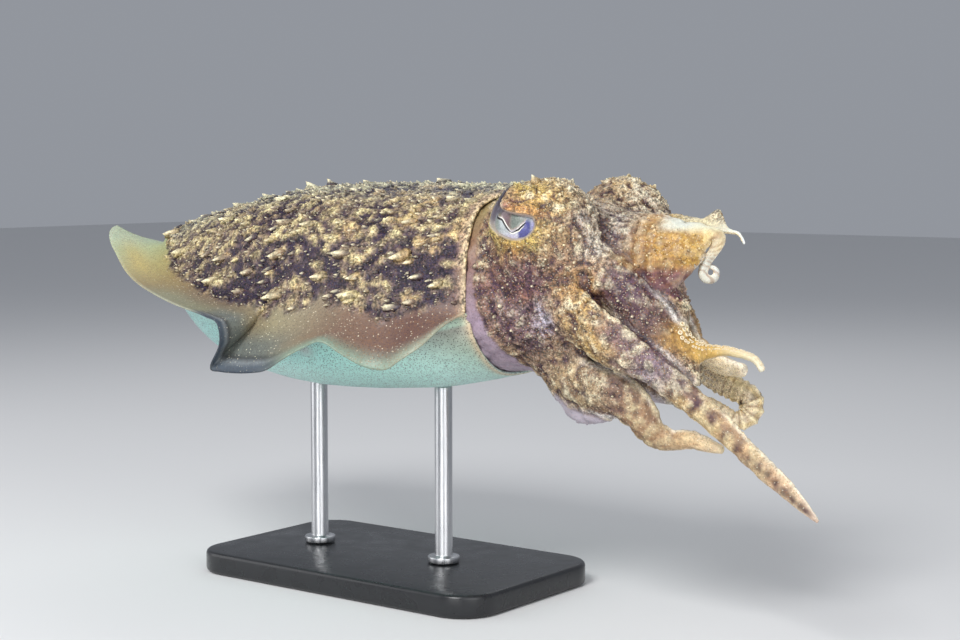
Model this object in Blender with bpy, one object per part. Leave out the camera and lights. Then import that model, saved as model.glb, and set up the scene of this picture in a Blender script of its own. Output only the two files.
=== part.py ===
"""Common cuttlefish (Sepia officinalis), life size, hovering on a display stand.

The animal is drawn in its own frame, in millimetres: the origin is the centre of the mantle
opening, +X runs forward to the arms, +Y to the animal's left and +Z up.  The finished model
stands with the middle of the base's underside at the world's origin.

Flesh is one body in life.  Here it is parted by thin cuts into the mantle, two fins, the head,
the funnel and eight arms, each arm in three lengths.  Where two pieces would share a space,
the later one is carved back from the earlier one, with a small gap between them.
"""

import math

import bmesh
import bpy
from mathutils import Matrix, Vector

MM = 0.001
GAP = 0.35

# The animal's origin in the world: its weight comes over the middle of the base.
ANIMAL_AHEAD_OF_BASE = 62.0
ANIMAL_HEIGHT = 112.0

# Mantle, from its tail to its side margin: (share of the length, half width, level of the
# back, level of the belly, level of the line where the fin leaves it).
MANTLE_LENGTH = 176.0
MANTLE_SHAPE = [(0.00, 14.0, 12.5, 1.0, 7.0), (0.05, 16.5, 15.0, -9.0, 5.5),
                (0.10, 20.5, 17.0, -18.0, 2.8), (0.20, 30.0, 21.0, -30.0, -4.0),
                (0.30, 37.0, 25.2, -37.0, -8.5), (0.45, 43.6, 30.2, -41.4, -13.4),
                (0.60, 46.0, 32.2, -42.0, -15.5), (0.80, 43.8, 32.4, -39.5, -14.5),
                (0.90, 41.0, 32.6, -36.8, -12.3), (1.00, 38.0, 33.0, -33.0, -9.0)]
TAIL_ROUNDING = 0.10
TAIL_LEVEL = 8.0
DORSAL_LOBE = 10.0
VENTRAL_NOTCH = -4.0
LOBE_FROM = 0.7
LIP_THICKNESS = 3.6
# The lip's rings, outermost first: (inset, distance ahead of the margin), in lip thicknesses.
LIP_ROUND = ((0.3, 0.35), (0.8, 0.2), (1.0, -0.4))
NECK_CLEARANCE = 1.2
RECESS_DEPTH = 12.0
UPPER_ROUNDNESS = 2.3
LOWER_ROUNDNESS = 2.0
MANTLE_SIDES = 28
MANTLE_STATIONS = 18
TAIL_CROWDING = 1.5

# Fins: (share of the mantle's length, then how far the fin's edge lies behind, outside and
# above the line where the fin leaves the body).  The right fin folds sharply down halfway.
FIN_RIGHT = [(0.00, 8.5, 20.0, 8.0), (0.04, 9.0, 19.5, 6.2), (0.08, 10.5, 18.0, 5.4),
             (0.15, 9.8, 18.8, 4.8), (0.23, 8.0, 19.9, 3.6), (0.31, 5.8, 21.0, 3.0),
             (0.46, 4.5, 21.9, 2.9), (0.51, 3.0, 22.3, 2.0), (0.535, 1.5, 22.8, 0.0),
             (0.555, 5.0, 20.0, -9.0), (0.575, 8.6, 17.0, -15.2), (0.60, 9.4, 16.0, -17.2),
             (0.65, 4.5, 17.2, -15.0), (0.69, 1.1, 20.4, -10.4), (0.73, -1.8, 21.9, -6.0),
             (0.77, -3.5, 22.7, -3.4), (0.81, -3.0, 20.6, -8.0), (0.85, -3.2, 17.8, -13.0),
             (0.88, -4.5, 16.4, -14.4), (0.91, -6.0, 17.6, -11.8), (0.95, -6.8, 18.0, -8.8),
             (0.985, -6.0, 14.0, -6.0), (1.01, -2.0, 4.0, -1.5)]
FIN_LEFT = [(0.00, 8.0, 20.5, -4.0), (0.10, 10.0, 19.5, -7.0), (0.22, 8.0, 19.0, -10.0),
            (0.34, 5.5, 21.0, -5.0), (0.45, 4.0, 22.0, 1.0), (0.56, 2.0, 21.5, -5.0),
            (0.66, 0.0, 18.5, -12.0), (0.76, -2.0, 21.5, -5.0), (0.85, -4.0, 22.0, 1.0),
            (0.93, -6.0, 19.0, -4.0), (0.985, -5.0, 13.0, -5.0), (1.01, -2.0, 4.0, -1.5)]
FIN_ROOT_DEPTH = 3.0
FIN_ROOT_THICK = 6.0
FIN_EDGE_THICK = 1.3
FIN_TAIL_SHARE = 0.012
# Where the fin bends between root and edge: shares of its reach behind, outside and above.
FIN_BEND = (0.5, 0.6, 0.1)
FIN_STEPS = 4
FIN_STATIONS = 34

# Head: (distance ahead of the mantle opening, half width, top, underside).
HEAD_SHAPE = [(0, 33.0, 28.0, -28.0), (12, 33.5, 28.0, -29.0), (24, 32.0, 28.0, -31.0),
              (36, 28.0, 25.0, -30.5), (45, 22.0, 19.5, -26.5), (52, 14.5, 11.5, -19.5),
              (56, 7.0, 4.0, -11.0)]
HEAD_SIDE_ROUNDNESS = 2.3
HEAD_TOP_ROUNDNESS = 2.2
HEAD_WIDEST_DROP = 2.0
HEAD_SIDES = 22
HEAD_STATIONS = 8
NECK_INSIDE = (RECESS_DEPTH - GAP, 4.0)
NECK_TO_HEAD = 9.0
EYE_DOME_AT = (23.5, 22.5, 15.0)
EYE_DOME_SIZE = (18.8, 15.5, 20.5)
EYE_AT = (19.5, 28.0, 20.0)
EYE_RADIUS = 11.3
MOUTH_AT = (51.5, 0.0, -4.0)
MOUTH_RADIUS = 7.5
# How many faces each ball has round its poles, and from pole to pole.
EYE_DOME_FACES = (18, 10)
EYE_FACES = (14, 9)
MOUTH_FACES = (12, 8)

# Funnel: (centre x, centre z, half width, half height) from its base to its mouth.
FUNNEL_SHAPE = [(-8, -12, 24.0, 12.0), (3, -16, 22.0, 13.0), (13, -21.5, 16.0, 12.0),
                (22, -27.5, 10.5, 9.5), (30, -32.5, 6.5, 6.5)]
FUNNEL_WALL = 1.8
FUNNEL_LIP = 0.8
FUNNEL_LIP_OUT = 0.7
FUNNEL_RECESS = 6.0
FUNNEL_SIDES = 16

# Arms, numbered from the top pair (1) to the bottom pair (4).  Each has the way that it takes,
# its half widths at even steps from root to tip, and the compass angle of its outer side round
# the mouth, from 0 at the top to 180 underneath.  A frill is a thin blade along one edge.
ARM_SIDES = 8
ARM_INNER_DEPTH = 0.72
ARM_END_LENGTH = 0.55
ARM_END_SIZE = 0.5
CURL_STEP_DEG = 28
ARM_CUTS = (0.0, 0.36, 0.68, 1.0)
STATION_SHARE = 0.85
SHORTEST_STATION = 1.2
ARMS = {
    "arm_right_4": dict(
        path=[(12, -17, -18), (20, -19, -23), (27, -20, -27), (35, -21, -30.8),
              (43.5, -21, -32.4), (50.5, -20, -34), (56.3, -19, -39), (60.2, -18, -44.3),
              (67, -17, -47.3), (74, -16.5, -46.7), (84.5, -16, -48.6)],
        widths=[6.0, 6.8, 7.2, 7.5, 7.6, 7.5, 6.6, 5.0, 3.4, 2.9, 1.5], faces=108,
        flatness=0.62, frill=dict(at=0.33, spread=0.15, height=6.5, toward=72)),
    "arm_left_4": dict(
        path=[(20, 16, -22), (28, 15, -25), (36, 14, -28.3), (44.6, 13, -32), (53, 12, -36),
              (65.3, 12, -43.7), (74.5, 11, -50.1), (79.4, 11, -53.5)],
        widths=[6.0, 6.4, 6.2, 5.8, 5.2, 4.8, 4.2, 3.7, 3.2, 2.5, 1.2], faces=108,
        flatness=0.62, frill=dict(at=0.33, spread=0.15, height=5.0, toward=-72)),
    "arm_right_3": dict(
        path=[(24, -26, 0), (32.4, -29, -4), (41, -30, -9), (48.2, -29.5, -14),
              (56.1, -29, -18.3), (64.8, -27.5, -23), (72.6, -26, -28.4), (85.4, -23.5, -37.8),
              (96.6, -22, -47.4), (109.7, -21, -57.7), (119.7, -20, -66.5)],
        widths=[7.0, 7.8, 8.0, 7.6, 5.5, 4.8, 4.7, 4.4, 3.9, 3.3, 0.7], faces=100,
        flatness=0.62),
    "arm_left_3": dict(
        path=[(36, 16, -15), (44, 12.5, -19.5), (53.3, 9.5, -22.4), (61.8, 7.5, -26.8),
              (68.5, 7, -29.6), (80, 7, -33.9)],
        widths=[6.5, 6.2, 5.6, 5.0, 4.6, 4.2, 3.9, 3.7, 3.2, 2.3, 0.8], faces=80,
        flatness=0.85, curl=dict(turn=-192, radius=4.7, shrink=0.92, tail=9)),
    "arm_right_2": dict(
        path=[(34, -25, 9), (43.8, -23, 5.5), (53.2, -23, 0), (59.5, -21, -6.7),
              (64.2, -18, -13.6), (69.1, -15.5, -17), (74.8, -14, -17.7), (83.7, -11.5, -18),
              (91, -10, -19.9), (93.4, -9.5, -21.3), (94.7, -9, -23.6)],
        widths=[7.0, 7.2, 6.8, 6.5, 6.1, 5.7, 4.6, 3.0, 1.6, 1.25, 1.1], faces=80,
        flatness=0.75),
    "arm_left_2": dict(
        path=[(45, 12, -1.5), (51.4, 8, -4.4), (56.6, 4.5, -8.6),
              (60.5, 2.5, -12.9), (64.5, 1, -17.8), (70.7, 0, -22.4), (76.2, -1, -24.3),
              (83.1, -1, -25.4)],
        widths=[7.0, 6.8, 6.4, 6.0, 5.4, 4.9, 4.4, 3.8, 3.4, 3.1, 2.3], faces=70,
        flatness=0.75),
    "arm_right_1": dict(
        path=[(36.5, -12.5, 10.9), (48.1, -12, 10.9), (58.7, -11, 11.5),
              (66.7, -9, 13.9), (72.1, -7, 16.5), (76, -6, 17), (77.4, -6.5, 15.2),
              (76.2, -7.5, 12.3), (74.1, -8, 9.3), (73.2, -8.5, 6.4)],
        widths=[11.0, 12.2, 12.8, 13.0, 11.8, 8.6, 3.8, 1.9, 1.6, 1.4, 0.8], faces=66,
        flatness=0.55, curl=dict(turn=285, radius=2.3, shrink=0.85)),
    "arm_left_1": dict(
        path=[(40, 9, 15.5), (46, 8.5, 17), (53, 8, 18), (64, 6, 18.6), (70.5, 5, 18.4),
              (74.7, 4, 18.2), (78.5, 3.5, 17.9), (80.2, 3.2, 16.6), (81.3, 3, 14.7)],
        widths=[8.5, 8.2, 7.6, 6.8, 5.8, 4.4, 2.8, 1.4, 0.8, 0.6, 0.5], faces=18,
        flatness=0.8, frill=dict(at=0.68, spread=0.09, height=5.6, toward=0)),
}
# The plane in which a curled tip turns: its normal looks forward and to the animal's right.
CURL_NORMAL = Vector((0.60, -0.79, 0.09)).normalized()

# Stand.
BASE_LENGTH = 132.0
BASE_WIDTH = 78.0
BASE_THICKNESS = 8.0
BASE_CORNER = 14.0
BASE_CORNER_STEPS = 5
BASE_BEVEL = 1.4
ROD_RADIUS = 3.2
ROD_PLACES = {"stand_rod_rear": -98.0, "stand_rod_front": -38.0}
ROD_INTO_BELLY = 5.0
ROD_SIDES = 16


def clear_scene():
    """Leaves nothing in the scene but what this script makes."""
    for obj in list(bpy.data.objects):
        bpy.data.objects.remove(obj)


def material(name, colour, roughness, metallic=0.0):
    """A Principled material of one colour."""
    made = bpy.data.materials.new(name)
    made.use_nodes = True
    shader = made.node_tree.nodes["Principled BSDF"]
    shader.inputs["Base Color"].default_value = (*colour, 1.0)
    shader.inputs["Roughness"].default_value = roughness
    shader.inputs["Metallic"].default_value = metallic
    return made


def in_world(point):
    """A point of the animal's frame, in millimetres, as a world point in metres."""
    return Vector((point[0] + ANIMAL_AHEAD_OF_BASE, point[1], point[2] + ANIMAL_HEIGHT)) * MM


def link(name, mesh, finish):
    """A smooth-shaded object of this mesh and material."""
    mesh.materials.append(finish)
    obj = bpy.data.objects.new(name, mesh)
    bpy.context.scene.collection.objects.link(obj)
    mesh.shade_smooth()
    return obj


def loft(name, rings, finish):
    """A closed solid through rings of equal length, with a fan of triangles at each end."""
    bm = bmesh.new()
    rows = [[bm.verts.new(in_world(point)) for point in ring] for ring in rings]
    for row, following in zip(rows, rows[1:]):
        for i in range(len(row)):
            j = (i + 1) % len(row)
            bm.faces.new((row[i], row[j], following[j], following[i]))
    for row, backwards in ((rows[0], True), (rows[-1], False)):
        middle = bm.verts.new(sum((v.co for v in row), Vector()) / len(row))
        for i in range(len(row)):
            pair = (row[i], row[(i + 1) % len(row)])
            bm.faces.new((middle, *(reversed(pair) if backwards else pair)))
    bmesh.ops.recalc_face_normals(bm, faces=bm.faces)
    bmesh.ops.triangulate(bm, faces=bm.faces)
    mesh = bpy.data.meshes.new(name)
    bm.to_mesh(mesh)
    bm.free()
    return link(name, mesh, finish)


def ease(x):
    """A smooth step from 0 at 0 to 1 at 1."""
    x = min(1.0, max(0.0, x))
    return x * x * (3 - 2 * x)


def read(table, x):
    """Every column of a table at x, on smooth curves through its rows."""
    x = min(table[-1][0], max(table[0][0], x))
    at = max(k for k in range(len(table) - 1) if table[k][0] <= x)
    step = table[at + 1][0] - table[at][0]
    t = (x - table[at][0]) / step

    def slope(row, column):
        before, after = table[max(0, row - 1)], table[min(len(table) - 1, row + 1)]
        return (after[column] - before[column]) / (after[0] - before[0])

    found = []
    for column in range(1, len(table[0])):
        low, high = table[at][column], table[at + 1][column]
        bend = t * (1 - t) ** 2 * slope(at, column) - t ** 2 * (1 - t) * slope(at + 1, column)
        found.append(low + (high - low) * ease(t) + bend * step)
    return found


def smooth_curve(points):
    """Closely spaced points on a smooth curve through the given ones."""
    points = [Vector(p) for p in points]
    ends = [2 * points[0] - points[1], *points, 2 * points[-1] - points[-2]]
    dense = []
    for a, b, c, d in zip(ends, ends[1:], ends[2:], ends[3:]):
        for step in range(16):
            t = step / 16
            dense.append(0.5 * (2 * b + (c - a) * t + (2 * a - 5 * b + 4 * c - d) * t ** 2
                                + (3 * b - 3 * c + d - a) * t ** 3))
    return [*dense, points[-1]]


# Mantle -------------------------------------------------------------------------------------

def mantle_shape(share):
    """Half width and the levels of the back, belly and fin line, rounded off at the tail."""
    wide, top, belly, line = read(MANTLE_SHAPE, share)
    rounding = math.sqrt(max(0.0, 1 - max(0.0, 1 - share / TAIL_ROUNDING) ** 2))
    levels = [TAIL_LEVEL + (level - TAIL_LEVEL) * rounding for level in (top, belly, line)]
    return wide * rounding, *levels


def mantle_ring(share, inset=0.0, back=0.0, sides=MANTLE_SIDES):
    """A section of the mantle.  Inset makes it smaller and back moves it towards the tail."""
    wide, top, belly, level = mantle_shape(share)
    wide -= inset
    ring = []
    for i in range(sides):
        angle = math.tau * i / sides
        up = math.cos(angle)
        roundness = UPPER_ROUNDNESS if up > 0 else LOWER_ROUNDNESS
        height = top - inset - level if up > 0 else level - belly - inset
        y = wide * math.copysign(abs(math.sin(angle)) ** (2 / roundness), math.sin(angle))
        z = level + height * math.copysign(abs(up) ** (2 / roundness), up)
        lobe = DORSAL_LOBE * max(0.0, up) ** 2 + VENTRAL_NOTCH * max(0.0, -up) ** 2
        x = (share - 1) * MANTLE_LENGTH + lobe * ease((share - LOBE_FROM) / (1 - LOBE_FROM)) - back
        ring.append((x, y, z))
    return ring


def mantle(finish):
    """The trunk, with a rounded lip and a shallow recess that takes the neck."""
    shares = [((k + 1) / MANTLE_STATIONS) ** TAIL_CROWDING for k in range(MANTLE_STATIONS)]
    rings = [mantle_ring(share) for share in shares]
    for inset, ahead in LIP_ROUND:
        rings.append(mantle_ring(1.0, inset=LIP_THICKNESS * inset, back=-LIP_THICKNESS * ahead))
    rings.append(mantle_ring(1.0, inset=LIP_THICKNESS, back=RECESS_DEPTH))
    return loft("mantle", rings, finish)


# Fins ---------------------------------------------------------------------------------------

def fin_line(edge, share, side):
    """The middle line of a fin at one station, from inside the body out to the edge."""
    wide, _, _, level = mantle_shape(min(1.0, max(FIN_TAIL_SHARE, share)))
    back, out, rise = read(edge, share)
    x = (share - 1) * MANTLE_LENGTH
    root = Vector((x, side * (wide - FIN_ROOT_DEPTH), level))
    tip = Vector((x - back, side * (wide + out), level + rise))
    behind, outside, above = FIN_BEND
    bend = Vector((x - behind * back, side * (wide + outside * out), level + above * rise))
    line = []
    for step in range(FIN_STEPS + 1):
        t = step / FIN_STEPS
        line.append(root * (1 - t) ** 2 + bend * 2 * t * (1 - t) + tip * t ** 2)
    return line


def fin(name, edge, side, finish):
    """One fin: a tapering blade from inside the mantle's flank to a thin edge."""
    last = edge[-1][0]
    lines = [fin_line(edge, last * k / FIN_STATIONS, side) for k in range(FIN_STATIONS + 1)]
    rings = []
    for at, line in enumerate(lines):
        before, after = lines[max(0, at - 1)], lines[min(len(lines) - 1, at + 1)]
        upper, lower = [], []
        for step, point in enumerate(line):
            across = line[min(FIN_STEPS, step + 1)] - line[max(0, step - 1)]
            normal = (after[step] - before[step]).cross(across).normalized() * side
            thin = (1 - step / FIN_STEPS) ** 2
            half = 0.5 * (FIN_EDGE_THICK + (FIN_ROOT_THICK - FIN_EDGE_THICK) * thin)
            upper.append(point + normal * half)
            lower.append(point - normal * half)
        rings.append(upper + lower[::-1])
    return loft(name, rings, finish)


# Head, eyes, mouth and funnel ---------------------------------------------------------------

def head_ring(ahead):
    """A section of the head this far in front of the mantle opening."""
    wide, high, low = read(HEAD_SHAPE, ahead)
    level = 0.5 * (high + low) - HEAD_WIDEST_DROP
    ring = []
    for i in range(HEAD_SIDES):
        angle = math.tau * i / HEAD_SIDES
        up = math.cos(angle)
        out = math.sin(angle)
        y = wide * math.copysign(abs(out) ** (2 / HEAD_SIDE_ROUNDNESS), out)
        height = high - level if up > 0 else level - low
        z = level + height * math.copysign(abs(up) ** (2 / HEAD_TOP_ROUNDNESS), up)
        ring.append((ahead, y, z))
    return ring


def neck_ring(back):
    """A section of the neck this far behind the mantle's margin."""
    inset = LIP_THICKNESS + NECK_CLEARANCE
    return mantle_ring(1.0, inset=inset, back=back, sides=HEAD_SIDES)


def ball(name, centre, size, finish, segments, rings):
    """An ellipsoid of the animal's frame, its poles at the sides of the head."""
    bm = bmesh.new()
    bmesh.ops.create_uvsphere(bm, u_segments=segments, v_segments=rings, radius=1.0)
    bmesh.ops.rotate(bm, verts=bm.verts, matrix=Matrix.Rotation(math.pi / 2, 3, "X"))
    for vert in bm.verts:
        grown = [c + s * v for c, s, v in zip(centre, size, vert.co)]
        vert.co = in_world(grown)
    bmesh.ops.triangulate(bm, faces=bm.faces)
    mesh = bpy.data.meshes.new(name)
    bm.to_mesh(mesh)
    bm.free()
    return link(name, mesh, finish)


def head(finish):
    """Neck, skull and the two domes that carry the eyes, as one solid."""
    rings = [neck_ring(back) for back in NECK_INSIDE]
    length = HEAD_SHAPE[-1][0] - NECK_TO_HEAD
    rings += [head_ring(NECK_TO_HEAD + length * k / HEAD_STATIONS) for k in range(HEAD_STATIONS + 1)]
    body = loft("head", rings, finish)
    for side in (-1, 1):
        x, y, z = EYE_DOME_AT
        dome = ball("dome", (x, side * y, z), EYE_DOME_SIZE, finish, *EYE_DOME_FACES)
        combine(body, dome, "UNION")
    return body


def funnel(finish):
    """The jet funnel: broad where it lies in the mantle opening, with a short open mouth."""
    rings = []
    last = len(FUNNEL_SHAPE) - 1
    for k, (x, z, wide, high) in enumerate(FUNNEL_SHAPE):
        before, after = FUNNEL_SHAPE[max(0, k - 1)], FUNNEL_SHAPE[min(last, k + 1)]
        way = Vector((after[0] - before[0], 0, after[1] - before[1])).normalized()
        up = Vector((-way.z, 0, way.x))
        rings.append(tube_ring(Vector((x, 0, z)), up, wide, high, FUNNEL_SIDES))
    mouth = Vector((FUNNEL_SHAPE[-1][0], 0, FUNNEL_SHAPE[-1][1]))
    inner = FUNNEL_SHAPE[-1][2] - FUNNEL_WALL
    rim = inner + FUNNEL_LIP_OUT
    rings.append(tube_ring(mouth + way * FUNNEL_LIP, up, rim, rim, FUNNEL_SIDES))
    rings.append(tube_ring(mouth, up, inner, inner, FUNNEL_SIDES))
    rings.append(tube_ring(mouth - way * FUNNEL_RECESS, up, inner, inner, FUNNEL_SIDES))
    return loft("funnel", rings, finish)


def tube_ring(centre, up, wide, high, sides):
    """An upright ellipse round a point, across the animal."""
    return [centre + Vector((0, wide * math.sin(math.tau * i / sides), 0))
            + up * (high * math.cos(math.tau * i / sides)) for i in range(sides)]


# Arms ---------------------------------------------------------------------------------------

def curl(path, turn, radius, shrink, tail=0.0):
    """Adds a curled tip to a path: it turns about CURL_NORMAL while its radius shrinks."""
    path = [Vector(p) for p in path]
    way = path[-1] - path[-2]
    way = (way - CURL_NORMAL * way.dot(CURL_NORMAL)).normalized()
    steps = round(abs(turn) / CURL_STEP_DEG)
    angle = math.radians(turn) / steps
    for k in range(steps):
        now = radius * (1 + (shrink - 1) * (k + 0.5) / steps)
        half = Matrix.Rotation(angle / 2, 3, CURL_NORMAL)
        chord = 2 * now * math.sin(abs(angle) / 2)
        path.append(path[-1] + (half @ way) * chord)
        way = Matrix.Rotation(angle, 3, CURL_NORMAL) @ way
    if tail:
        path.append(path[-1] + way * tail)
    return path


def arm_half_width(shape, share):
    last = len(shape["widths"]) - 1
    return read([(k / last, width) for k, width in enumerate(shape["widths"])], share)[0]


def arm_line(shape):
    """An arm's stations, closer where it is thin: (share of its length, centre, way, out)."""
    path = curl(shape["path"], **shape["curl"]) if "curl" in shape else shape["path"]
    dense = smooth_curve(path)
    reached = [0.0]
    for a, b in zip(dense, dense[1:]):
        reached.append(reached[-1] + (b - a).length)
    length = reached[-1]
    chosen = [0]
    for at, distance in enumerate(reached):
        wide = arm_half_width(shape, distance / length)
        step = max(SHORTEST_STATION, STATION_SHARE * wide)
        if distance - reached[chosen[-1]] >= step and length - distance > 0.6 * step:
            chosen.append(at)
    chosen.append(len(dense) - 1)
    side = -1 if path[0][1] < 0 else 1
    facing = math.radians(shape["faces"])
    out = Vector((0, side * math.sin(facing), math.cos(facing)))
    stations = []
    for at in chosen:
        way = (dense[min(len(dense) - 1, at + 3)] - dense[max(0, at - 3)]).normalized()
        out = (out - way * out.dot(way)).normalized()
        stations.append((reached[at] / length, dense[at], way, out))
    return stations


def arm_ring(shape, share, centre, way, out):
    """A section: flat on the sucker side, arched outside, with a frill where the arm has one."""
    across = way.cross(out)
    wide = arm_half_width(shape, share)
    thick = wide * (shape["flatness"] + (1 - shape["flatness"]) * share ** 2)
    ring = []
    for i in range(ARM_SIDES):
        angle = math.tau * i / ARM_SIDES
        outward = math.cos(angle)
        depth = thick if outward > 0 else thick * ARM_INNER_DEPTH
        ring.append(centre + across * (wide * math.sin(angle)) + out * (depth * outward))
    frill = shape.get("frill")
    if frill:
        grown = frill["height"] * math.exp(-((share - frill["at"]) / frill["spread"]) ** 2)
        toward = round(frill["toward"] / 360 * ARM_SIDES) % ARM_SIDES
        ring[toward] = ring[toward] + (ring[toward] - centre).normalized() * grown
    return ring


def arm(name, shape, finish):
    """The three lengths of an arm, each closed, with a thin cut between them."""
    stations = arm_line(shape)
    last = len(stations) - 1
    ends = [min(range(last + 1), key=lambda k: abs(stations[k][0] - cut)) for cut in ARM_CUTS]
    pieces = []
    for length, first, final in zip(("base", "middle", "tip"), ends, ends[1:]):
        rings = [arm_ring(shape, *station) for station in stations[first:final + 1]]
        if first:
            rings[0] = [p + stations[first][2] * GAP for p in rings[0]]
        if final == last:
            centre, way = stations[last][1:3]
            end = centre + way * (ARM_END_LENGTH * shape["widths"][-1])
            rings.append([end + (p - centre) * ARM_END_SIZE for p in rings[-1]])
        pieces.append(loft(f"{name}_{length}", rings, finish))
    return pieces


# Carving ------------------------------------------------------------------------------------

def grown_copy(obj, distance):
    """A hidden copy of an object with its surface moved outwards."""
    copy = bpy.data.objects.new("cutter", obj.data.copy())
    bpy.context.scene.collection.objects.link(copy)
    copy.hide_render = True
    copy.display_type = "WIRE"
    normals = [vert.normal.copy() for vert in copy.data.vertices]
    for vert, normal in zip(copy.data.vertices, normals):
        vert.co += normal * distance * MM
    return copy


def combine(obj, other, operation):
    """Joins or cuts with another object, which is used up."""
    boolean = obj.modifiers.new(operation.lower(), "BOOLEAN")
    boolean.operation = operation
    boolean.solver = "EXACT"
    boolean.object = other
    graph = bpy.context.evaluated_depsgraph_get()
    made = bpy.data.meshes.new_from_object(obj.evaluated_get(graph))
    obj.modifiers.clear()
    obj.data = made
    bpy.data.objects.remove(other)


def keep_largest(obj):
    """Removes the crumbs that a cut leaves beside the main body, and tidies its edges."""
    bm = bmesh.new()
    bm.from_mesh(obj.data)
    bmesh.ops.remove_doubles(bm, verts=bm.verts, dist=0.02 * MM)
    unseen, islands = set(bm.verts), []
    while unseen:
        island, front = set(), [unseen.pop()]
        while front:
            vert = front.pop()
            island.add(vert)
            near = {edge.other_vert(vert) for edge in vert.link_edges} & unseen
            unseen -= near
            front.extend(near)
        islands.append(island)
    islands.sort(key=len)
    crumbs = [vert for island in islands[:-1] for vert in island]
    bmesh.ops.delete(bm, geom=crumbs, context="VERTS")
    bmesh.ops.triangulate(bm, faces=bm.faces)
    bm.to_mesh(obj.data)
    bm.free()
    obj.data.shade_smooth()


def reach(obj):
    """Lowest and highest corner of an object's vertices."""
    points = [vert.co for vert in obj.data.vertices]
    return [(min(p[i] for p in points), max(p[i] for p in points)) for i in range(3)]


def carve(obj, others):
    """Cuts an object back from each neighbour that it could touch."""
    cut = False
    for other in others:
        apart = any(a[0] > b[1] + GAP * MM or b[0] > a[1] + GAP * MM
                    for a, b in zip(reach(obj), reach(other)))
        if not apart:
            combine(obj, grown_copy(other, GAP), "DIFFERENCE")
            cut = True
    if cut:
        keep_largest(obj)


# Stand --------------------------------------------------------------------------------------

def base(finish):
    """A flat plinth with round corners."""
    bm = bmesh.new()
    outline = []
    for quarter in range(4):
        across = BASE_LENGTH / 2 - BASE_CORNER
        along = BASE_WIDTH / 2 - BASE_CORNER
        cx = across if quarter in (0, 3) else -across
        cy = along if quarter in (0, 1) else -along
        for step in range(BASE_CORNER_STEPS + 1):
            angle = math.pi / 2 * (quarter + step / BASE_CORNER_STEPS)
            outline.append((cx + BASE_CORNER * math.cos(angle), cy + BASE_CORNER * math.sin(angle)))
    low = [bm.verts.new((x * MM, y * MM, 0)) for x, y in outline]
    floor = bm.faces.new(low[::-1])
    grown = bmesh.ops.extrude_face_region(bm, geom=[floor])
    raised = [v for v in grown["geom"] if isinstance(v, bmesh.types.BMVert)]
    bmesh.ops.translate(bm, verts=raised, vec=(0, 0, BASE_THICKNESS * MM))
    bmesh.ops.recalc_face_normals(bm, faces=bm.faces)
    mesh = bpy.data.meshes.new("stand_base")
    bm.to_mesh(mesh)
    bm.free()
    obj = link("stand_base", mesh, finish)
    mesh.set_sharp_from_angle(angle=math.radians(35))
    bevel = obj.modifiers.new("edges", "BEVEL")
    bevel.width = BASE_BEVEL * MM
    bevel.segments = 1
    bevel.limit_method = "ANGLE"
    bevel.angle_limit = math.radians(50)
    return obj


def rod(name, x, body, finish):
    """A round steel rod that stands on the base and is cut to the belly's curve."""
    foot = BASE_THICKNESS + GAP - ANIMAL_HEIGHT
    top = mantle_shape(1 + x / MANTLE_LENGTH)[2] + ROD_INTO_BELLY
    rings = []
    for level in (foot, top):
        rings.append([(x + ROD_RADIUS * math.cos(math.tau * i / ROD_SIDES),
                       ROD_RADIUS * math.sin(math.tau * i / ROD_SIDES), level)
                      for i in range(ROD_SIDES)])
    obj = loft(name, rings, finish)
    carve(obj, [body])
    return obj


def main():
    clear_scene()
    back_skin = material("back_skin", (0.30, 0.22, 0.12), 0.5)
    fin_skin = material("fin_skin", (0.42, 0.33, 0.20), 0.4)
    head_skin = material("head_skin", (0.40, 0.26, 0.13), 0.5)
    arm_skin = material("arm_skin", (0.62, 0.46, 0.24), 0.45)
    pale_skin = material("pale_skin", (0.62, 0.52, 0.55), 0.35)
    eye_shine = material("eye_shine", (0.62, 0.64, 0.70), 0.12)
    plinth = material("stand_board", (0.05, 0.05, 0.055), 0.35)
    steel = material("stand_steel", (0.62, 0.62, 0.63), 0.28, 1.0)

    trunk = mantle(back_skin)
    fins = [fin("fin_right", FIN_RIGHT, -1, fin_skin), fin("fin_left", FIN_LEFT, 1, fin_skin)]
    for blade in fins:
        carve(blade, [trunk])
    x, y, z = EYE_AT
    size = (EYE_RADIUS,) * 3
    eyes = [ball("eye_right", (x, -y, z), size, eye_shine, *EYE_FACES),
            ball("eye_left", (x, y, z), size, eye_shine, *EYE_FACES)]
    skull = head(head_skin)
    carve(skull, [trunk, *eyes])
    jet = funnel(pale_skin)
    carve(jet, [skull, trunk])
    mouth = ball("mouth", MOUTH_AT, (MOUTH_RADIUS,) * 3, pale_skin, *MOUTH_FACES)
    carve(mouth, [skull])
    placed = [trunk, skull, jet, mouth, *eyes, *fins]
    for name, shape in ARMS.items():
        pieces = arm(name, shape, arm_skin)
        for piece in pieces:
            carve(piece, placed)
        placed += pieces
    base(plinth)
    for name, place in ROD_PLACES.items():
        rod(name, place, trunk, steel)


main()
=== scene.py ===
"""A common cuttlefish as a life-size museum model: it hovers level on two short rods, its fins
rippling and its arms spread ahead of it.

The animal is laid out in its own frame, in millimetres: the origin is the centre of the mantle
opening, +X runs forward to the arms, +Y to the animal's left and +Z up.
"""

import math

import bmesh
import bpy
import numpy as np
import openvdb
from mathutils import Matrix, Vector, noise
from mathutils.bvhtree import BVHTree

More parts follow.
